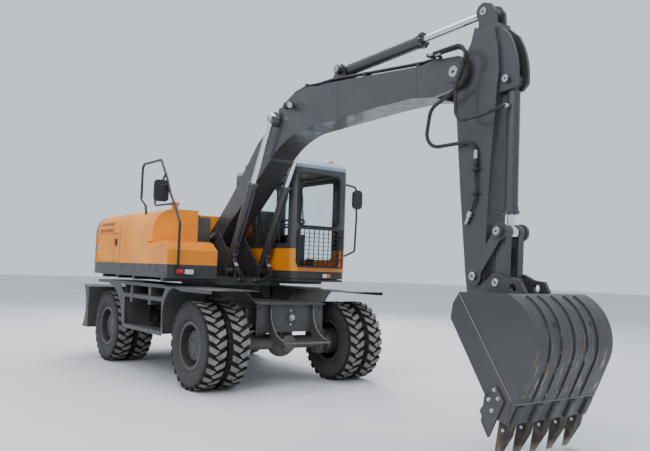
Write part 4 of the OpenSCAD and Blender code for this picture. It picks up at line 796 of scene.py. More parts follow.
# %% Wheel nuts and hub cases
def hub_case(name):
    """Turned gear case, its foot at Z 0 and its face 0.172 above."""
    return turned(name, [
        (0.160, 0.0), (0.1765, 0.0), (0.1765, 0.010), (0.1720, 0.014), (0.1720, 0.150), (0.1765, 0.153),
        (0.1765, 0.166), (0.1705, 0.172), (0.1500, 0.172), (0.1480, 0.1695), (0.0700, 0.1695), (0.0680, 0.1740),
        (0.0300, 0.1740), (0.0270, 0.1700), (0.0, 0.1700), (0.0, 0.160), (0.160, 0.150)], 48)


HUB_BOLTS = [
    # name, width over the flats, how far out, ring radius, how many, first angle, stud
    ("nut", 0.024, 0.9995, 0.1955, 10, 0.0, 0.014),
    ("case_bolt", 0.014, 1.1725, 0.159, 12, 0.2, 0.0),
    ("oil_plug", 0.022, 1.1705, 0.108, 3, 0.5, 0.0),
]
HUB_FOOT_Y = 1.001
for wheel, x, y_sign in WHEELS:
    axis = (0, y_sign, 0)
    case = lay(hub_case("hub_case"), (x, y_sign * HUB_FOOT_Y, AXLE_Z), axis)
    # The hub case takes the rims' dark paint, which is partly painted shade inside the rim.
    done("hub_case_" + wheel, case, rim_paint, "wheel_" + wheel)
    nuts = []
    for name, across, out, radius, count, start, stud in HUB_BOLTS:
        nuts += bolt_ring(name, across, (x, y_sign * out, AXLE_Z), axis, radius, count, start, stud)
    done("wheel_nuts_" + wheel, nuts, dull_zinc, "wheel_" + wheel)
print("hub cases:", len(WHEELS), "with", sum(row[4] for row in HUB_BOLTS), "bolts each")

# %% Nose plate
NOSE_X = 1.8465
nose = repeat(bolt("pin_nut", 0.052, stud=0.012), [((NOSE_X + 0.024, 0, 0.830), (1, 0, 0), 0.2)])
nose += repeat(bolt("keeper_bolt", 0.020), [((NOSE_X, 0, z), (1, 0, 0), 0.3) for z in (0.745, 0.915)])
corners = repeat(bolt("nose_bolt", 0.022), [((NOSE_X, y, z), (1, 0, 0), 0.3) for y in (-0.440, -0.270, 0.270, 0.440)
                                            for z in (0.700, 0.940)])
print("nose plate bolts:", len(nose) + len(corners))
done("nose_pin_bolts", nose, zinc_plate, "chassis")
done("nose_bolts", corners, frame_paint, "chassis")

# %% [markdown]
# ## Pins of the boom, arm and bucket
# Every joint of the digging gear turns on a thick pin. On the outside a plated cap closes its bore and carries
# the grease nipple in a small recess, which is why the caps catch the eye as bright rings with a dark middle. The
# caps are turned: a rim, a shallow dish and the hole, spun from one profile and scaled by the pin's size. The
# dark middle is painted shade: a black plug with a small nub sits over the hole.

# %% Pin caps
PIN_CAPS = [
    # body, x, z, distance from the middle plane, cap radius
    ("upper", 0.100, 1.861, 0.224, 0.042),
    ("boom", 1.650, 3.295, 0.306, 0.036),
    ("boom", 2.812, 3.702, 0.140, 0.032),
    ("boom", 4.666, 3.267, 0.194, 0.052),
    ("arm", 4.903, 3.788, 0.076, 0.036),
    ("arm", 5.200, 3.110, 0.120, 0.032),
    ("arm", 4.920, 1.418, 0.170, 0.036),
    ("rocker", 5.189, 1.802, 0.186, 0.034),
    ("bucket", 5.178, 1.371, 0.174, 0.034),
    ("bucket", 4.930, 1.150, 0.190, 0.038),
]


def pin_cap(name, radius):
    dish, hole = radius * 0.62, radius * 0.20
    return turned(name, [(0, 0.0015), (hole, 0.0015), (hole, 0.0070), (dish, 0.0070), (dish + 0.002, 0.0100),
                         (radius - 0.003, 0.0100), (radius, 0.0070), (radius, -0.0010), (0, -0.0010)], 28)


# A black plug over the cap's hole, with a small nub: painted shade of the recess.
def recess_shade_plug(name, radius):
    hole = radius * 0.30
    return turned(name, [(0, 0.0085), (hole * 0.4, 0.0110), (hole * 0.4, 0.0080), (hole, 0.0080), (hole, 0.0060),
                         (0, 0.0060)], 12)


caps_of, shade_plugs_of = {}, {}
for body, x, z, y, radius in PIN_CAPS:
    faces = [((x, s * y, z), (0, s, 0), 0) for s in (1, -1)]
    caps_of.setdefault(body, []).extend(repeat(pin_cap("pin_cap", radius), faces))
    shade_plugs_of.setdefault(body, []).extend(repeat(recess_shade_plug("recess_shade_plug", radius), faces))
for body in caps_of:
    done("pin_caps_" + body, caps_of[body], zinc_plate, body)
    # The black plugs are painted shade in the caps' middles.
    done("recess_shade_plugs_" + body, shade_plugs_of[body], black_bar, body)
print("pin caps:", 2 * len(PIN_CAPS))

# %% [markdown]
# ## Cylinder glands
# The rod leaves its barrel through a gland, a ring held down by a circle of socket screws. It carries the seals,
# so it is the thickest ring on the cylinder. A turned ring with a stepped front and a bolt circle does it.

# %% Glands
GLANDS = [
    # body, pin at the barrel's foot, pin at the rod's eye, along to the ring, ring radius, rod hole
    ("boom_barrel_left", (0.660, 0.256, 1.385), (1.650, 0.256, 3.295), 1.255, 0.069, 0.0385),
    ("boom_barrel_right", (0.660, -0.256, 1.385), (1.650, -0.256, 3.295), 1.255, 0.069, 0.0385),
    ("arm_barrel", (2.812, 0, 3.702), (4.903, 0, 3.788), 1.245, 0.083, 0.0385),
    ("bucket_barrel", (5.200, 0, 3.110), (5.189, 0, 1.802), 1.135, 0.071, 0.0345),
]
for body, foot, eye, along, radius, hole in GLANDS:
    axis = (Vector(eye) - Vector(foot)).normalized()
    ring = turned("gland_ring", [(radius - 0.016, -0.012), (radius - 0.004, -0.012), (radius, -0.008), (radius, 0.012),
                                 (radius - 0.003, 0.015), (hole + 0.012, 0.015), (hole + 0.010, 0.023), (hole, 0.023),
                                 (hole, 0.012), (radius - 0.016, 0.012)], 40)
    done("gland_" + body, lay(ring, Vector(foot) + along * axis, axis), boom_paint, body)
    screws = bolt_ring("gland_screw", 0.011, Vector(foot) + (along + 0.0148) * axis, axis, radius - 0.011, 8)
    done("gland_screws_" + body, screws, zinc_plate, body)
print("glands:", len(GLANDS))

# %% [markdown]
# ## Hose ends
# A hose is pressed into a plated sleeve with rings round it, and the sleeve's nut screws on the pipe. The sleeves
# are the bright spots among black hoses. They are turned once for each hose size and laid on the hose's ends.

# %% Sleeves and the quick coupler
def sleeve(name, bore, length):
    wall = bore + 0.0045
    profile = [(bore, 0.0)]
    for k in range(4):
        z = 0.002 + k * length / 4
        profile += [(wall, z), (wall, z + length / 6), (wall - 0.002, z + length / 6 + 0.001),
                    (wall - 0.002, z + length / 4 - 0.001)]
    return turned(name, profile + [(bore, length + 0.001)], 20)


HOSE_ENDS = [
    # place, direction along the hose, hose radius, sleeve length
    ((4.472, -0.225, 3.466), (1, 0, 0), 0.0170, 0.070),
    ((4.420, -0.262, 3.466), (1, 0, 0), 0.0150, 0.062),
    ((4.9075, -0.140, 2.448), (0, 0, 1), 0.0170, 0.075),
    ((5.198, -0.083, 2.880), (0, -1, 0), 0.0150, 0.040),
]
sleeves = [lay(sleeve("sleeve", bore, length), at, axis) for at, axis, bore, length in HOSE_ENDS]
coupler = turned("coupler", [
    (0.0165, -0.002), (0.0232, 0.0), (0.0245, 0.004), (0.0245, 0.014), (0.0232, 0.018), (0.0232, 0.034),
    (0.0245, 0.038), (0.0245, 0.046), (0.0225, 0.052), (0.0175, 0.054), (0.0175, 0.116), (0.0150, 0.1215),
    (0.006, 0.1215), (0.006, 0.112), (0.0, 0.112), (0.0, -0.002)], 24)
sleeves.append(lay(coupler, (4.860, -0.140, 1.985), (-0.42262, 0, -0.90631)))
done("nose_sleeves", sleeves[:2], zinc_plate, "boom")
done("hose_sleeves", sleeves[2:], zinc_plate, "arm")
print("sleeves:", len(HOSE_ENDS), "and a coupler")

# %% [markdown]
# ## Hoses over the boom's nose
# Two hoses cross the joint between the boom and the arm. Each is screwed to a pipe on either side, so it bends when
# the arm swings. The construction has them as stiff tubes. A copy of those, cut into shorter rings, takes their
# place.

# %% Hoses cut into rings
MERGE_DISTANCE, RING_LENGTH, BEND_LOW_Z, CUT_ROUNDS = 1e-5, 0.06, 2.50, 3
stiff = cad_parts["arm_hoses"]
nose_hoses = bpy.data.objects.new("nose_hoses", stiff.data.copy())
bpy.context.collection.objects.link(nose_hoses)
rings = bmesh.new()
rings.from_mesh(nose_hoses.data)
bmesh.ops.remove_doubles(rings, verts=rings.verts, dist=MERGE_DISTANCE)
for _ in range(CUT_ROUNDS):
    long_edges = [e for e in rings.edges
                  if e.calc_length() > RING_LENGTH and min(v.co.z for v in e.verts) > BEND_LOW_Z]
    bmesh.ops.subdivide_edges(rings, edges=long_edges, cuts=1)
bmesh.ops.triangulate(rings, faces=[f for f in rings.faces if len(f.verts) > 4])
rings.to_mesh(nose_hoses.data)
rings.free()
done("nose_hoses", nose_hoses, hose_rubber, None, angle=50)
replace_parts(nose_hoses, "arm_hoses")
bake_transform(nose_hoses)
print("nose hoses:", len(nose_hoses.data.vertices), "points")

# %% [markdown]
# ## Window gaskets
# Each pane sits in a black rubber gasket with rounded corners, which stands a little proud of the cab and covers
# the edge of the opening. A plane gets its corners rounded by a vertex bevel, an inset turns it into a frame, the
# middle face is deleted, and one extrusion gives the frame its depth down to the glass.

# %% Gasket
CORNER = 0.070


def frame_ring(name, width, height, corner, band, depth):
    """Flat ring with rounded corners in XY, from Z 0 down to -depth."""
    piece = sheet(name, width, height, corner)
    bpy.ops.mesh.inset(thickness=band, depth=0)
    bpy.ops.mesh.delete(type="FACE")
    bpy.ops.mesh.select_all(action="SELECT")
    extrude(0, 0, -depth)
    close_edit()
    return soften(piece, 0.003, 2, angle=60)


CAB = {"front": 1.356, "back": -0.330, "right": 0.338, "left": 1.240}
WINDOWS = [
    # name, body, wall, low and high along the wall, low and high up
    ("front_upper", "upper", "front", (0.398, 1.075), (2.010, 2.720)),
    ("front_lower", "upper", "front", (0.398, 1.075), (1.470, 1.975)),
    ("back", "upper", "back", (0.468, 1.110), (1.900, 2.690)),
    ("right_rear", "upper", "right", (-0.260, 0.330), (1.760, 2.700)),
    ("right_front", "upper", "right", (0.400, 1.206), (1.760, 2.700)),
    ("door", "cab_door", "left", (0.170, 1.036), (1.560, 2.690)),
]
OVER, UNDER, PROUD, TO_GLASS = 0.014, 0.010, 0.005, 0.024
gaskets = {}
for name, body, wall, span, rise in WINDOWS:
    ring = frame_ring("gasket_" + name, span[1] - span[0] + 2 * OVER, rise[1] - rise[0] + 2 * OVER, CORNER + OVER,
                      OVER + UNDER, PROUD + TO_GLASS)
    along, high = sum(span) / 2, sum(rise) / 2
    outward = PROUD if wall in ("front", "left") else -PROUD
    at = (CAB[wall] + outward, along, high) if wall in ("front", "back") else (along, CAB[wall] + outward, high)
    gaskets.setdefault(body, []).append(hang(ring, at, wall))
for body, rings in gaskets.items():
    done("gaskets_" + body, rings, hose_rubber, body)
print("gaskets:", len(WINDOWS))

# %% [markdown]
# ## Wiper
# The wiper parks upright beside the front pane. Its spindle comes through the lower edge of the pane, a thin arm
# bends up from it, and the blade hangs at the arm's end. The arm is one block whose end is extruded again and
# again, thinner each time; the blade gets its ridge by an extrusion that is drawn in.

# %% Wiper arm and blade
WIPER_X, WIPER_Y, WIPER_Z = 1.362, 0.452, 2.035


def stick(name, size, at):
    """Bar with its middle at a place, open in edit mode."""
    piece = fresh(bpy.ops.mesh.primitive_cube_add, name, size=1)
    stretch(size)
    bpy.ops.transform.translate(value=at)
    return piece


hub = turned("wiper_hub", [(0, 0.030), (0.010, 0.030), (0.016, 0.024), (0.020, 0.010), (0.022, -0.006),
                           (0, -0.006)], 20)
lay(hub, (WIPER_X, WIPER_Y, WIPER_Z), (1, 0, 0))
arm = stick("wiper_arm", (0.010, 0.024, 0.050), (WIPER_X + 0.022, WIPER_Y, WIPER_Z + 0.015))
pick(arm, lambda v: v.z > WIPER_Z + 0.03)
for step, thin in (((0.004, -0.012, 0.120), 0.75), ((0.0, -0.008, 0.180), 0.8), ((-0.004, -0.004, 0.060), 0.8)):
    extrude(*step)
    bpy.ops.transform.resize(value=(thin, thin, 1))
close_edit()
blade = stick("wiper_blade", (0.012, 0.010, 0.460), (WIPER_X + 0.010, 0.4275, 2.385))
pick(blade, lambda v: v.x > WIPER_X + 0.012)
extrude(0.005, 0, 0)
bpy.ops.transform.resize(value=(1, 0.4, 0.9))
close_edit()
done("wiper", [hub, soften(arm, 0.002), soften(blade, 0.0015)], black_bar, "upper")
print("wiper parked from", WIPER_Z, "m up")

# %% [markdown]
# ## Mirrors and latches
# A mirror is a dark shell with the glass let into its back-facing side, behind a thin rim. The rim is made like a
# gasket, and the glass is a plane with the same corners. Latches are shallow cups with a paddle.

# %% Mirrors
def rounded_pane(name, width, height, corner, thick):
    """Plate with rounded corners in XY, its crowned face up."""
    piece = sheet(name, width, height, corner)
    extrude(0, 0, thick)
    bpy.ops.mesh.inset(thickness=min(width, height) * 0.06, depth=thick * 0.4)
    close_edit()
    return piece


MIRRORS = [
    # name, x of the back face, middle y, middle z, width, height, corner
    ("right", 0.535, -1.210, 2.380, 0.200, 0.280, 0.050),
    ("left", 1.401, 1.340, 2.425, 0.160, 0.270, 0.060),
]
for name, x, y, z, width, height, corner in MIRRORS:
    rim = hang(frame_ring("mirror_rim", width, height, corner, 0.012, 0.008), (x - 0.007, y, z), "back")
    done("mirror_rim_" + name, rim, black_bar, "upper")
    face = hang(rounded_pane("mirror_face", width - 0.022, height - 0.022, corner - 0.011, 0.002), (x, y, z), "back")
    done("mirror_face_" + name, face, silver, "upper")
print("mirrors:", len(MIRRORS))

# %% Latches and the cab door's handle
def latch(name, width, height):
    """Cup with a rim and a paddle in it, in XY."""
    cup = rounded_pane(name, width, height, 0.010, 0.0085)
    edit(cup)
    pick(cup, lambda v: v.z > 0.0095)
    bpy.ops.mesh.inset(thickness=0.006, depth=-0.003)
    close_edit()
    paddle = lay(block(name + "_paddle", (width * 0.5, height * 0.42, 0.005), 0.8, 0.0015), (0, height * 0.1, 0.0085))
    return gather(name, [cup, paddle])


DOOR_FACE_Y, LATCH_Z, LATCH_INSET = 1.2385, 1.7275, 0.139
for side, y_sign in SIDES.items():
    door = "service_door_" + side
    place = (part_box(door)[1][0] - LATCH_INSET, y_sign * DOOR_FACE_Y, LATCH_Z)
    done("latch_" + door, hang(latch("latch", 0.074, 0.108), place, side), black_bar, door)
grip = block("door_grip", (0.044, 0.168, 0.008), 0.9, 0.002)
lock = lay(turned("door_lock", [(0, 0.006), (0.004, 0.006), (0.0045, 0.0045), (0.009, 0.0045), (0.011, 0.002),
                                (0.011, -0.001), (0, -0.001)], 16), (0, 0.058, 0.008))
handle = hang(gather("door_handle", [grip, lock]), (1.064, 1.2695, 1.980), "left")
done("door_handle", handle, black_bar, "cab_door")
print("latches:", len(SIDES), "and the door's handle")

# %% [markdown]
# ## Louvres
# Hot air leaves the engine bay through rows of slanted slots in the cowling's shoulder. The slots look dark with
# shade, and that shade is painted: a dark blade sits in each slot. The shoulder is a quarter round, so a blade is a
# rounded block turned to the surface where it sits: its width runs along the machine, its length up the slant,
# and its top looks out along the round's radius.

# %% Louvre blades of painted shade
SHOULDER_R, SHOULDER_Y, SHOULDER_Z = 0.300, 0.938, 1.870
SLOT_LEAN, SLOT_PITCH, SLOTS = math.radians(35), 0.058, 10
slant = Vector((math.sin(SLOT_LEAN), 0, math.cos(SLOT_LEAN)))
slot_shades = []
for row, z in enumerate((2.0008, 1.9058)):
    rise = z - SHOULDER_Z
    reach = math.sqrt(SHOULDER_R ** 2 - rise ** 2)
    outward = Vector((0, -reach, rise)).normalized()
    along = (slant - outward * slant.dot(outward)).normalized()
    across = along.cross(outward)
    for i in range(SLOTS):
        louvre = block("louvre_slot_shade", (0.030, 0.068, 0.010), 0.85, 0.002)
        at = Vector((-1.6657 + SLOT_PITCH * i + 0.030 * row, -SHOULDER_Y - reach, z)) - 0.0080 * outward
        louvre.data.transform(Matrix.Translation(at) @ Matrix((across, along, outward)).transposed().to_4x4())
        slot_shades.append(louvre)
# The blades take the dark hose rubber as painted shade in the slots.
done("louvre_slot_shades", slot_shades, hose_rubber, "upper")
print("louvre blades:", len(slot_shades))

# %% [markdown]
# ## Bucket fittings
# A bucket is built of plates. A flat band runs along each side's edge, with a weld where it meets the side.
# Diamond side cutters are bolted to it. Along the lip sit the adapters, welded blocks that carry the teeth, and
# a weld bead crosses the back where the lip plate begins. Beads are curves with a round bevel turned into mesh;
# the plates are extruded outlines with rounded edges.

# %% Weld beads
def bead(name, points, radius, smooth=False):
    """A round bead or hose along a row of points."""
    line = bpy.data.curves.new(name, "CURVE")
    line.dimensions = "3D"
    line.bevel_depth = radius
    line.bevel_resolution = 1
    line.use_fill_caps = True
    run = line.splines.new("NURBS" if smooth else "POLY")
    run.points.add(len(points) - 1)
    for knot, point in zip(run.points, points):
        knot.co = (*point, 1)
    if smooth:
        run.order_u, run.use_endpoint_u, run.resolution_u = 4, True, 8
    piece = bpy.data.objects.new(name, line)
    bpy.context.collection.objects.link(piece)
    only(piece)
    bpy.ops.object.convert(target="MESH")
    return bpy.context.object


def weld(name, colour):
    material = paint(name, colour, roughness=0.45, coat=0.1, dust=0.0)
    bump(material.node_tree, noise(material.node_tree, 70, 3, stretch=(1, 1, 2)), 0.8, 0.004)
    return material


weld_paint = weld("weld_paint", shade(FRONT_GREY, 1.5))
# The light edge finish is wear on the bucket's beads and painted highlight on the front step's edges.
worn_edge_and_highlight = weld("worn_edge_and_highlight", (0.20, 0.19, 0.175))
print("weld finishes:", weld_paint.name, worn_edge_and_highlight.name)

# %% Edge bands, side cutters and adapters
def plate(name, corners, y, thick, edge=0.002):
    """Plate cut to an outline of (x, z) points, standing at y and growing outwards by thick."""
    piece = outline(name, [(x, y, z) for x, z in corners])
    extrude(0, thick, 0)
    close_edit()
    return soften(piece, edge, angle=50)


FOLD = [(5.086, 1.271), (5.629, 0.494)]
BAND = [FOLD[0], (5.012, 1.192), (4.991, 1.068), (5.368, 0.503), (5.488, 0.560), (5.500, 0.345), (5.586, 0.320),
        FOLD[1]]
CUTTER = [(5.490, 0.592), (5.572, 0.486), (5.431, 0.192), (5.334, 0.380)]
CUTTER_BOLTS = [(5.484, 0.560), (5.429, 0.478), (5.521, 0.500), (5.462, 0.400)]
bands, cutters, bolts, seams = [], [], [], []
for y_sign in (1, -1):
    bands.append(plate("edge_band", BAND, y_sign * 0.4995, y_sign * 0.0045))
    cutters.append(plate("side_cutter", CUTTER, y_sign * 0.5035, y_sign * 0.0185, 0.003))
    bolts += repeat(bolt("cutter_bolt", 0.024), [((x, y_sign * 0.5218, z), (0, y_sign, 0), x * 9)
                                                 for x, z in CUTTER_BOLTS])
    seams.append(bead("fold_bead", [(x, y_sign * 0.503, z) for x, z in FOLD], 0.004))
done("bucket_edge_bands", bands, bucket_steel, "bucket")
done("side_cutters", cutters, bucket_steel, "bucket")
done("cutter_bolts", bolts, zinc_plate, "bucket")
done("bucket_fold_beads", seams, worn_edge_and_highlight, "bucket", angle=80)
lip_bead = bead("bucket_lip_bead", [(5.6735, -0.500 + k * 0.05, 0.4765) for k in range(21)], 0.0055)
done("bucket_lip_bead", lip_bead, worn_edge_and_highlight, "bucket", angle=80)

LIP_OUT = Vector((0.8944, 0, -0.4472))
TOOTH_Y = [-0.435 + k * 0.2175 for k in range(5)]
adapter = block("adapter", (0.170, 0.078, 0.026), 0.86, 0.006, 2)
adapters = repeat(adapter, [(Vector((5.628, y, 0.386)) - 0.002 * LIP_OUT, LIP_OUT, 0) for y in TOOTH_Y])
done("tooth_adapters", adapters, bucket_steel, "bucket")
pins = [((5.535, y + s * 0.0445, 0.262), (0, s, 0), 0) for y in TOOTH_Y for s in (1, -1)]
keeper = turned("tooth_pin", [(0, 0.004), (0.007, 0.004), (0.009, 0.006), (0.013, 0.006), (0.015, 0.003),
                              (0.015, -0.004), (0, -0.004)], 16)
done("tooth_pins", repeat(keeper, pins), zinc_plate, "bucket")
# Flat black discs on the bucket's back stand for its drain holes: painted shade of the holes.
drain_shade_disc = turned("drain_hole_shade", [(0, 0.001), (0.014, 0.001), (0.016, 0.002), (0.020, 0.002), (0.021, -0.003),
                             (0, -0.003)], 20)
drain_shades = repeat(drain_shade_disc, [((5.8045, y, 1.075), (0.924, 0, 0.383), 0) for y in (-0.235, 0.235)])
done("drain_hole_shades", drain_shades, black_bar, "bucket")
print("bucket: 2 bands, 2 cutters,", len(TOOTH_Y), "adapters")

# %% Seams of the boom and arm, and painted highlights on the front step
BOOM_SEAMS = [(2.876, 3.545, 2.889, 3.100), (4.147, 3.428, 4.163, 3.122)]
ARM_EDGE = [(4.9920, 1.2600), (5.0120, 1.5000), (5.0350, 2.0200), (5.0600, 2.4600), (5.0900, 2.8000)]
boom_beads, arm_beads = [], []
for s in (1, -1):
    for top_x, top_z, low_x, low_z in BOOM_SEAMS:
        boom_beads.append(bead("boom_bead", [(top_x, s * 0.1705, top_z), (low_x, s * 0.1705, low_z)], 0.0035))
    arm_beads.append(bead("arm_bead", [(x - 0.006, s * 0.1185, z) for x, z in ARM_EDGE], 0.0035))
# The front step's cheek edges and tread edge get thin light beads: painted highlights along the edges.
SWEEP = [math.radians(180 + 82 * k / 9) for k in range(10)]
SWEEP_R, SWEEP_X, SWEEP_Z = 0.345, 2.237, 0.924
cheek_highlights = [bead("cheek_highlight", [(SWEEP_X + SWEEP_R * math.cos(a), s * 0.310, SWEEP_Z + SWEEP_R * math.sin(a))
                                   for a in SWEEP], 0.0048) for s in (1, -1)]
cheek_highlights.append(bead("tread_edge_highlight", [(2.2395, k * 0.066, 0.5575) for k in range(-5, 6)], 0.0040))
print("welds:", len(boom_beads) + len(arm_beads) + len(cheek_highlights))
done("boom_seams", boom_beads, weld_paint, "boom", angle=80)
done("arm_seams", arm_beads, weld_paint, "arm", angle=80)
done("nose_step_highlights", cheek_highlights, worn_edge_and_highlight, "chassis", angle=80)

# %% [markdown]
# ## Hoses at the boom's foot
# Oil reaches the two boom cylinders through hoses that leave the deck's front beam and are screwed to the pipes
# under the barrels. A hose that is held at both ends hangs in a curve, because it needs spare length for the
# cylinder's swing. Its middle line is a smooth curve with a round bevel, from a sleeve under the barrel to an
# elbow on the beam.

# %% Foot hoses, sleeves and deck elbows
FOOT_PIN, EYE_PIN = Vector((0.660, 0, 1.385)), Vector((1.650, 0, 3.295))
BEAM_FRONT, ELBOW_Z, FOOT_HOSE = 0.7795, 1.250, 0.0120
up_barrel = (EYE_PIN - FOOT_PIN).normalized()
off_barrel = Vector((up_barrel.z, 0, -up_barrel.x))
stub_way = Vector((0.658, 0, -0.753))
for side, y_sign in SIDES.items():
    hoses, sleeves, elbows = [], [], []
    for k, out in enumerate((0.016, -0.016)):
        y = y_sign * (0.256 + out)
        elbow_y = y_sign * (0.155 - 0.060 * k)
        stub = FOOT_PIN + 0.170 * up_barrel + 0.169 * off_barrel + Vector((0, y, 0))
        nut = FOOT_PIN + 0.262 * up_barrel + 0.074 * off_barrel + Vector((0, y, 0))
        sleeves.append(lay(sleeve("foot_sleeve", FOOT_HOSE, 0.050), stub - 0.020 * stub_way, stub_way))
        sleeves.append(lay(sleeve("pipe_nut", 0.0152, 0.026), nut, up_barrel))
        elbow = turned("deck_elbow", [(0, 0.052), (0.012, 0.052), (0.0155, 0.048), (0.0155, 0.030), (0.019, 0.028),
                                      (0.019, 0.010), (0.024, 0.008), (0.024, -0.002), (0, -0.002)], 16)
        elbows.append(lay(elbow, (BEAM_FRONT, elbow_y, ELBOW_Z), (1, 0, 0)))
        way = [stub - 0.010 * stub_way, stub + 0.030 * stub_way, Vector((0.955, y, 1.375)),
               Vector((0.975, y * 0.7 + elbow_y * 0.3, 1.310)), Vector((0.950, y * 0.3 + elbow_y * 0.7, 1.262)),
               Vector((0.880, elbow_y, ELBOW_Z)), Vector((0.840, elbow_y, ELBOW_Z)), Vector((0.815, elbow_y, ELBOW_Z))]
        hoses.append(bead("foot_hose", way, FOOT_HOSE, smooth=True))
    bundle = done("foot_hoses_" + side, hoses, hose_rubber, None, angle=60)
    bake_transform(bundle)
    done("foot_sleeves_" + side, sleeves, zinc_plate, "boom_barrel_" + side)
    done("deck_elbows_" + side, elbows, dull_zinc, "upper")
print("foot hoses:", len(hoses), "on each side")

# %% [markdown]
# ## Lamps
# Each lamp is a clear or coloured lens in a black bezel. The lens is a plate with rounded corners and a crowned
# face, with ribs in its bump. The beacons on the roof are amber bells, and the work lamp on the boom is a round
# pot with a bright dish behind its glass.

# %% Lenses and bezels
def lens_unit(name, width, height):
    rim = frame_ring(name + "_rim", width + 0.012, height + 0.012, 0.010, 0.012, 0.012)
    return rim, rounded_pane(name + "_lens", width - 0.006, height - 0.006, 0.008, 0.004)


LENSES = [
    # name, material, x of the face, middle y, middle z, width, height
    ("box_white", white_lens, 0.9200, -0.945, 1.345, 0.130, 0.070),
    ("box_red", red_lens, 0.9180, -1.070, 1.345, 0.100, 0.070),
    ("cab_white", white_lens, 1.3640, 0.855, 1.3425, 0.088, 0.062),
    ("cab_amber", amber_lens, 1.3640, 0.926, 1.3425, 0.046, 0.062),
]
rims = []
for name, glass, x, y, z, width, height in LENSES:
    rim, face = lens_unit(name, width, height)
    rims.append(hang(rim, (x + 0.005, y, z), "front"))
    done("lens_" + name, hang(face, (x, y, z), "front"), glass, "upper")
done("lamp_rims", rims, black_bar, "upper")
bell = turned("beacon", [(0, 0.0725), (0.020, 0.0722), (0.032, 0.0690), (0.0385, 0.0600), (0.0410, 0.0480),
                         (0.0415, 0.0200), (0.0, 0.0200)], 32)
bells = repeat(bell, [((1.096, y, 2.9095), (0, 0, 1), 0) for y in (0.488, 1.090)])
done("beacons", bells, amber_lens, "upper")
POT_X, DISH_X, LAMP_Y, LAMP_Z = 2.012, 2.0175, -0.245, 3.410
pot = turned("pot", [(0.044, 0.0), (0.0535, 0.0), (0.0555, 0.004), (0.0555, 0.022), (0.0520, 0.026), (0.0460, 0.026),
                     (0.0440, 0.020)])
done("work_lamp_rim", lay(pot, (POT_X, LAMP_Y, LAMP_Z), (1, 0, 0)), black_bar, "boom")
dish = turned("dish", [(0, 0.016), (0.020, 0.015), (0.036, 0.012), (0.0445, 0.008), (0.0445, 0.002), (0, 0.002)])
done("work_lamp_glass", lay(dish, (DISH_X, LAMP_Y, LAMP_Z), (1, 0, 0)), white_lens, "boom")
print("lamps:", len(LENSES), "lenses, 2 beacons, 1 work lamp")

# %% [markdown]
# ## Treads of the steps
# Boots need grip, so each step's tread has raised bars across it. One bar is a block with its top drawn in, and
# it is copied along every tread.

# %% Grip bars
STEP_TOPS, BAR_GAP, BARS_DEEP, SUNK = (1.016, 0.592), 0.030, 6, 0.0005
step_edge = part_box("fenders")[1][1]
bars = []
for side in (1, -1):
    for z in STEP_TOPS:
        bar = block("grip_bar", (1.16, 0.010, 0.005), 0.97, 0.001)
        bars += repeat(bar, [((0.165, side * (step_edge - BAR_GAP - BAR_GAP * k), z - SUNK), (0, 0, 1), 0)
                             for k in range(BARS_DEEP)])
nose_bar = block("nose_bar", (0.008, 0.560, 0.005), 0.97, 0.001)
bars += repeat(nose_bar, [((2.164 + 0.015 * k, 0, 0.5595), (0, 0, 1), 0) for k in range(5)])
print("grip bars:", len(bars))
done("step_grip_bars", bars, frame_paint, "chassis")

# %% [markdown]
# ## The seat
# The driver's seat is foam under cloth: it swells between its seams and is flat underneath. A rounded block is
# remeshed to even squares, and Blender's cloth solver blows it up a little like a cushion, with no gravity. The
# move of each point is capped, so the pad keeps its size. The sewn channels are pressed in after that, because the
# remesh would have removed them.

# %% Padded cushions
CAP = 0.014
PRESSURE, MOMENTS, VOXEL = 4, 20, 0.008
CHANNEL_HALF, CHANNEL_DEEP = 0.014, 0.009


def fill_out(piece):
    """Swells a closed mesh by cloth pressure and keeps the result, no point moving further than the cap."""
    flat = [v.co.copy() for v in piece.data.vertices]
    cover = piece.modifiers.new("fill", "CLOTH")
    cover.settings.use_pressure = True
    cover.settings.uniform_pressure_force = PRESSURE
    cover.settings.effector_weights.gravity = 0
    for moment in range(1, MOMENTS + 1):
        bpy.context.scene.frame_set(moment)
    swollen = piece.evaluated_get(bpy.context.evaluated_depsgraph_get()).data
    moved = [v.co.copy() for v in swollen.vertices]
    piece.modifiers.remove(cover)
    bpy.context.scene.frame_set(1)
    for vertex, start, end in zip(piece.data.vertices, flat, moved):
        step = end - start
        vertex.co = start + step * min(1.0, CAP / max(step.length, 1e-6))


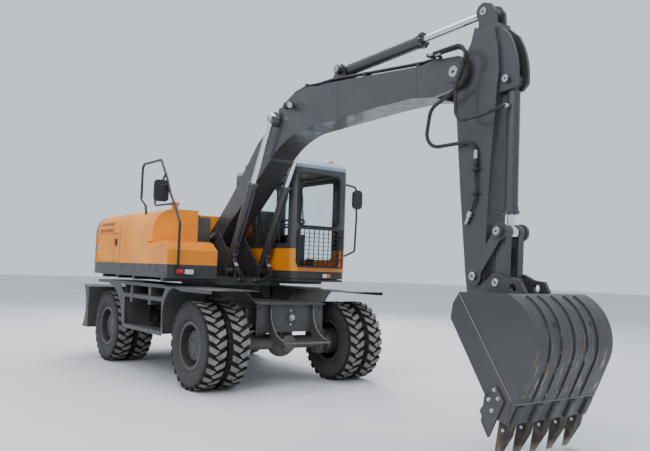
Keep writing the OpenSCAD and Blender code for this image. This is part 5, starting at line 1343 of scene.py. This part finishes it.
def cushion(name, size, channels):
    """Pad on the XY plane with sewn channels across X at the given places."""
    pad = modify(block(name, size, 0.92, 0.030, 5), "REMESH", mode="VOXEL", voxel_size=VOXEL)
    fill_out(pad)
    for vertex in pad.data.vertices:
        if vertex.co.z > size[2] * 0.5:
            for x in channels:
                near = abs(vertex.co.x - x) / CHANNEL_HALF
                vertex.co.z -= CHANNEL_DEEP * max(0.0, 1 - near * near)
    return modify(pad, "SUBSURF", levels=1, render_levels=1)


SEAT_Y, LEAN = 0.789, Matrix.Rotation(math.radians(-12), 4, "Y")
UPRIGHT = Matrix.Rotation(math.radians(-90), 4, "Y") @ Matrix.Rotation(math.radians(180), 4, "Z")
squab = lay(cushion("seat_squab", (0.470, 0.450, 0.105), (-0.09, 0.09)), (0.130, SEAT_Y, 1.625))
backrest = cushion("seat_back", (0.560, 0.430, 0.085), (-0.14, 0.0, 0.14))
backrest.data.transform(Matrix.Translation((-0.045, SEAT_Y, 2.045)) @ LEAN @ UPRIGHT)
for pad in (squab, backrest):
    done(pad.name, pad, seat_cloth, "upper", angle=70)
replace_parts(squab, "cab_seat")
carrier = []
for s in (1, -1):
    carrier.append(lay(block("seat_rail", (0.420, 0.040, 0.030), 0.9, 0.004), (0.120, SEAT_Y + s * 0.150, 1.592)))
for k in range(4):
    wide = 0.340 - 0.03 * (k % 2)
    carrier.append(lay(block("bellows_fold", (wide, wide, 0.040), 0.94, 0.008, 2), (0.120, SEAT_Y, 1.426 + 0.042 * k)))
done("seat_suspension", carrier, cab_plastic, "upper")
shell = block("seat_shell", (0.020, 0.440, 0.560), 0.94, 0.008, 2)
shell.data.transform(Matrix.Translation((-0.110, SEAT_Y, 1.760)) @ LEAN)
done("seat_shell", shell, cab_plastic, "upper")
print("seat pads:", squab.name, backrest.name)

# %% [markdown]
# ## Size of the dressed machine
# The dressed machine must be as large as its construction. Its box is printed at the end.

# %% Sizes
low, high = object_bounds()
print("dressed box:", [round(b - a, 3) for a, b in zip(low, high)])
